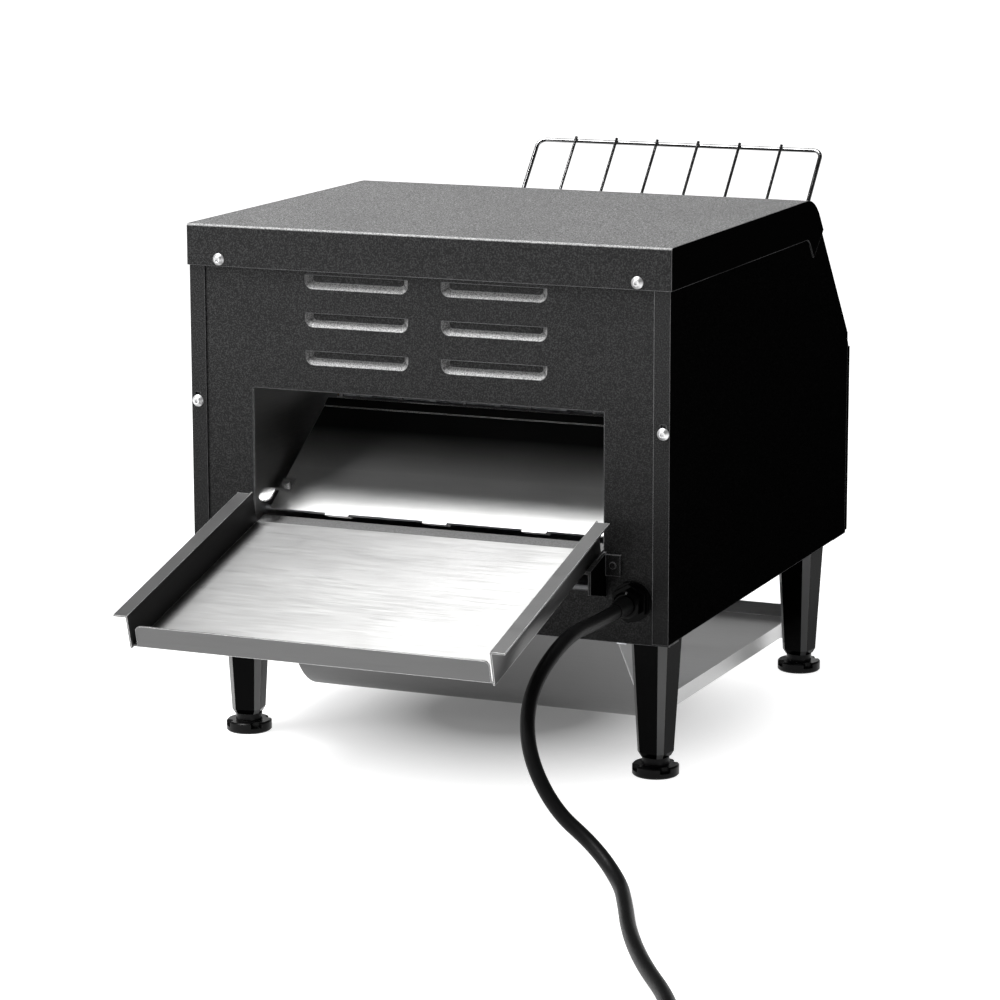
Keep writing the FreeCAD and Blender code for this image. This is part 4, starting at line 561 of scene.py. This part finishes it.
def make_floor():
    """A pale floor: white far away, with the object's soft shadow near it: real in the diffuse part, and
    painted as a glow that is lower near the object.
    """
    mesh = bpy.data.meshes.new("floor")
    reach = FLOOR_REACH
    corners = [(-reach, -reach, 0), (reach, -reach, 0), (reach, reach, 0), (-reach, reach, 0)]
    mesh.from_pydata(corners, [], [(0, 1, 2, 3)])
    floor = bpy.data.objects.new("floor", mesh)
    bpy.context.scene.collection.objects.link(floor)
    s = Shader("floor")
    shares = s.place((1 / SHADOW_HALF_WIDTH, 1 / SHADOW_HALF_DEPTH, 1))
    distance = s.node("ShaderNodeVectorMath", {0: shares}, operation="LENGTH").outputs["Value"]
    # The glow is lower under the object: a painted shadow, added to the real one.
    glow_level = s.spread(distance, SHADOW_CORE, SHADOW_RIM, SHADOW_GLOW, FLOOR_GLOW)
    diffuse = s.node("ShaderNodeBsdfDiffuse", {"Color": (0.55, 0.55, 0.55, 1)})
    glow = s.node("ShaderNodeEmission", {"Color": (1, 1, 1, 1), "Strength": glow_level})
    shown = s.node("ShaderNodeAddShader", {0: diffuse.outputs[0], 1: glow.outputs[0]})
    plain = s.node("ShaderNodeBsdfDiffuse", {"Color": (0.4, 0.4, 0.4, 1)})
    mixed = s.node("ShaderNodeMixShader", {0: seen_rays(s), 1: plain.outputs[0], 2: shown.outputs[0]})
    s.tree.links.new(mixed.outputs[0], s.output.inputs[0])
    mesh.materials.append(s.material)


class WorldShader(Shader):
    """The world's node tree, with the same short calls."""

    def __init__(self, name):
        world = bpy.data.worlds.new(name)
        bpy.context.scene.world = world
        world.use_nodes = True
        self.tree = world.node_tree
        self.tree.nodes.clear()
        self.output = self.tree.nodes.new("ShaderNodeOutputWorld")


def make_world():
    """White behind the object, also in its reflections. In those the ceiling and other walls are grey."""
    s = WorldShader("studio")
    direction = s.node("ShaderNodeTexCoord").outputs["Generated"]
    parts = s.node("ShaderNodeSeparateXYZ", {0: direction})
    height = s.spread(parts.outputs["Z"], -0.1, 0.8, 0.25, 0.75)
    side = s.spread(parts.outputs["X"], -0.7, 0.3, 0.15, 1.0)
    room = s.node("ShaderNodeBackground", {"Strength": s.combine(height, side, "MULTIPLY")})
    walls = s.spread(parts.outputs["Y"], -0.2, 0.4, 1.0, 0.3)
    left = s.spread(parts.outputs["X"], -0.35, 0.0, 0.25, 1.0)
    behind = s.spread(parts.outputs["Y"], 0.0, 0.3, 0.25, 1.0)
    walls = s.combine(walls, s.combine(left, behind, "MAXIMUM"), "MULTIPLY")
    mirrored = s.combine(walls, s.spread(parts.outputs["Z"], 0.3, 0.55, 1.0, 0.12), "MULTIPLY")
    backdrop = s.combine(mirrored, s.node("ShaderNodeLightPath").outputs["Is Camera Ray"], "MAXIMUM")
    white = s.node("ShaderNodeBackground", {"Color": (1, 1, 1, 1), "Strength": backdrop})
    mixed = s.node("ShaderNodeMixShader", {0: seen_rays(s), 1: room.outputs[0], 2: white.outputs[0]})
    s.tree.links.new(mixed.outputs[0], s.output.inputs[0])


def lamp(name, place, target, size, power):
    """A soft box at a place, facing a target."""
    data = bpy.data.lights.new(name, "AREA")
    data.shape = "RECTANGLE"
    data.size, data.size_y = size
    data.energy = power
    made = bpy.data.objects.new(name, data)
    made.location = place
    made.rotation_euler = (Vector(target) - Vector(place)).to_track_quat("-Z", "Y").to_euler()
    bpy.context.scene.collection.objects.link(made)


def make_lamps():
    """A high key behind the machine on the motor's side, and a weak lamp lower down on that side."""
    lamp("key", KEY_PLACE, KEY_TARGET, KEY_SIZE, KEY_POWER)
    lamp("side", SIDE_PLACE, SIDE_TARGET, SIDE_SIZE, SIDE_POWER)


bpy.context.scene.view_settings.view_transform = "Standard"
make_camera()
cord_sheath = rubber()
dress_all(cord_sheath)
make_cord(cord_sheath)
make_floor()
make_world()
make_lamps()
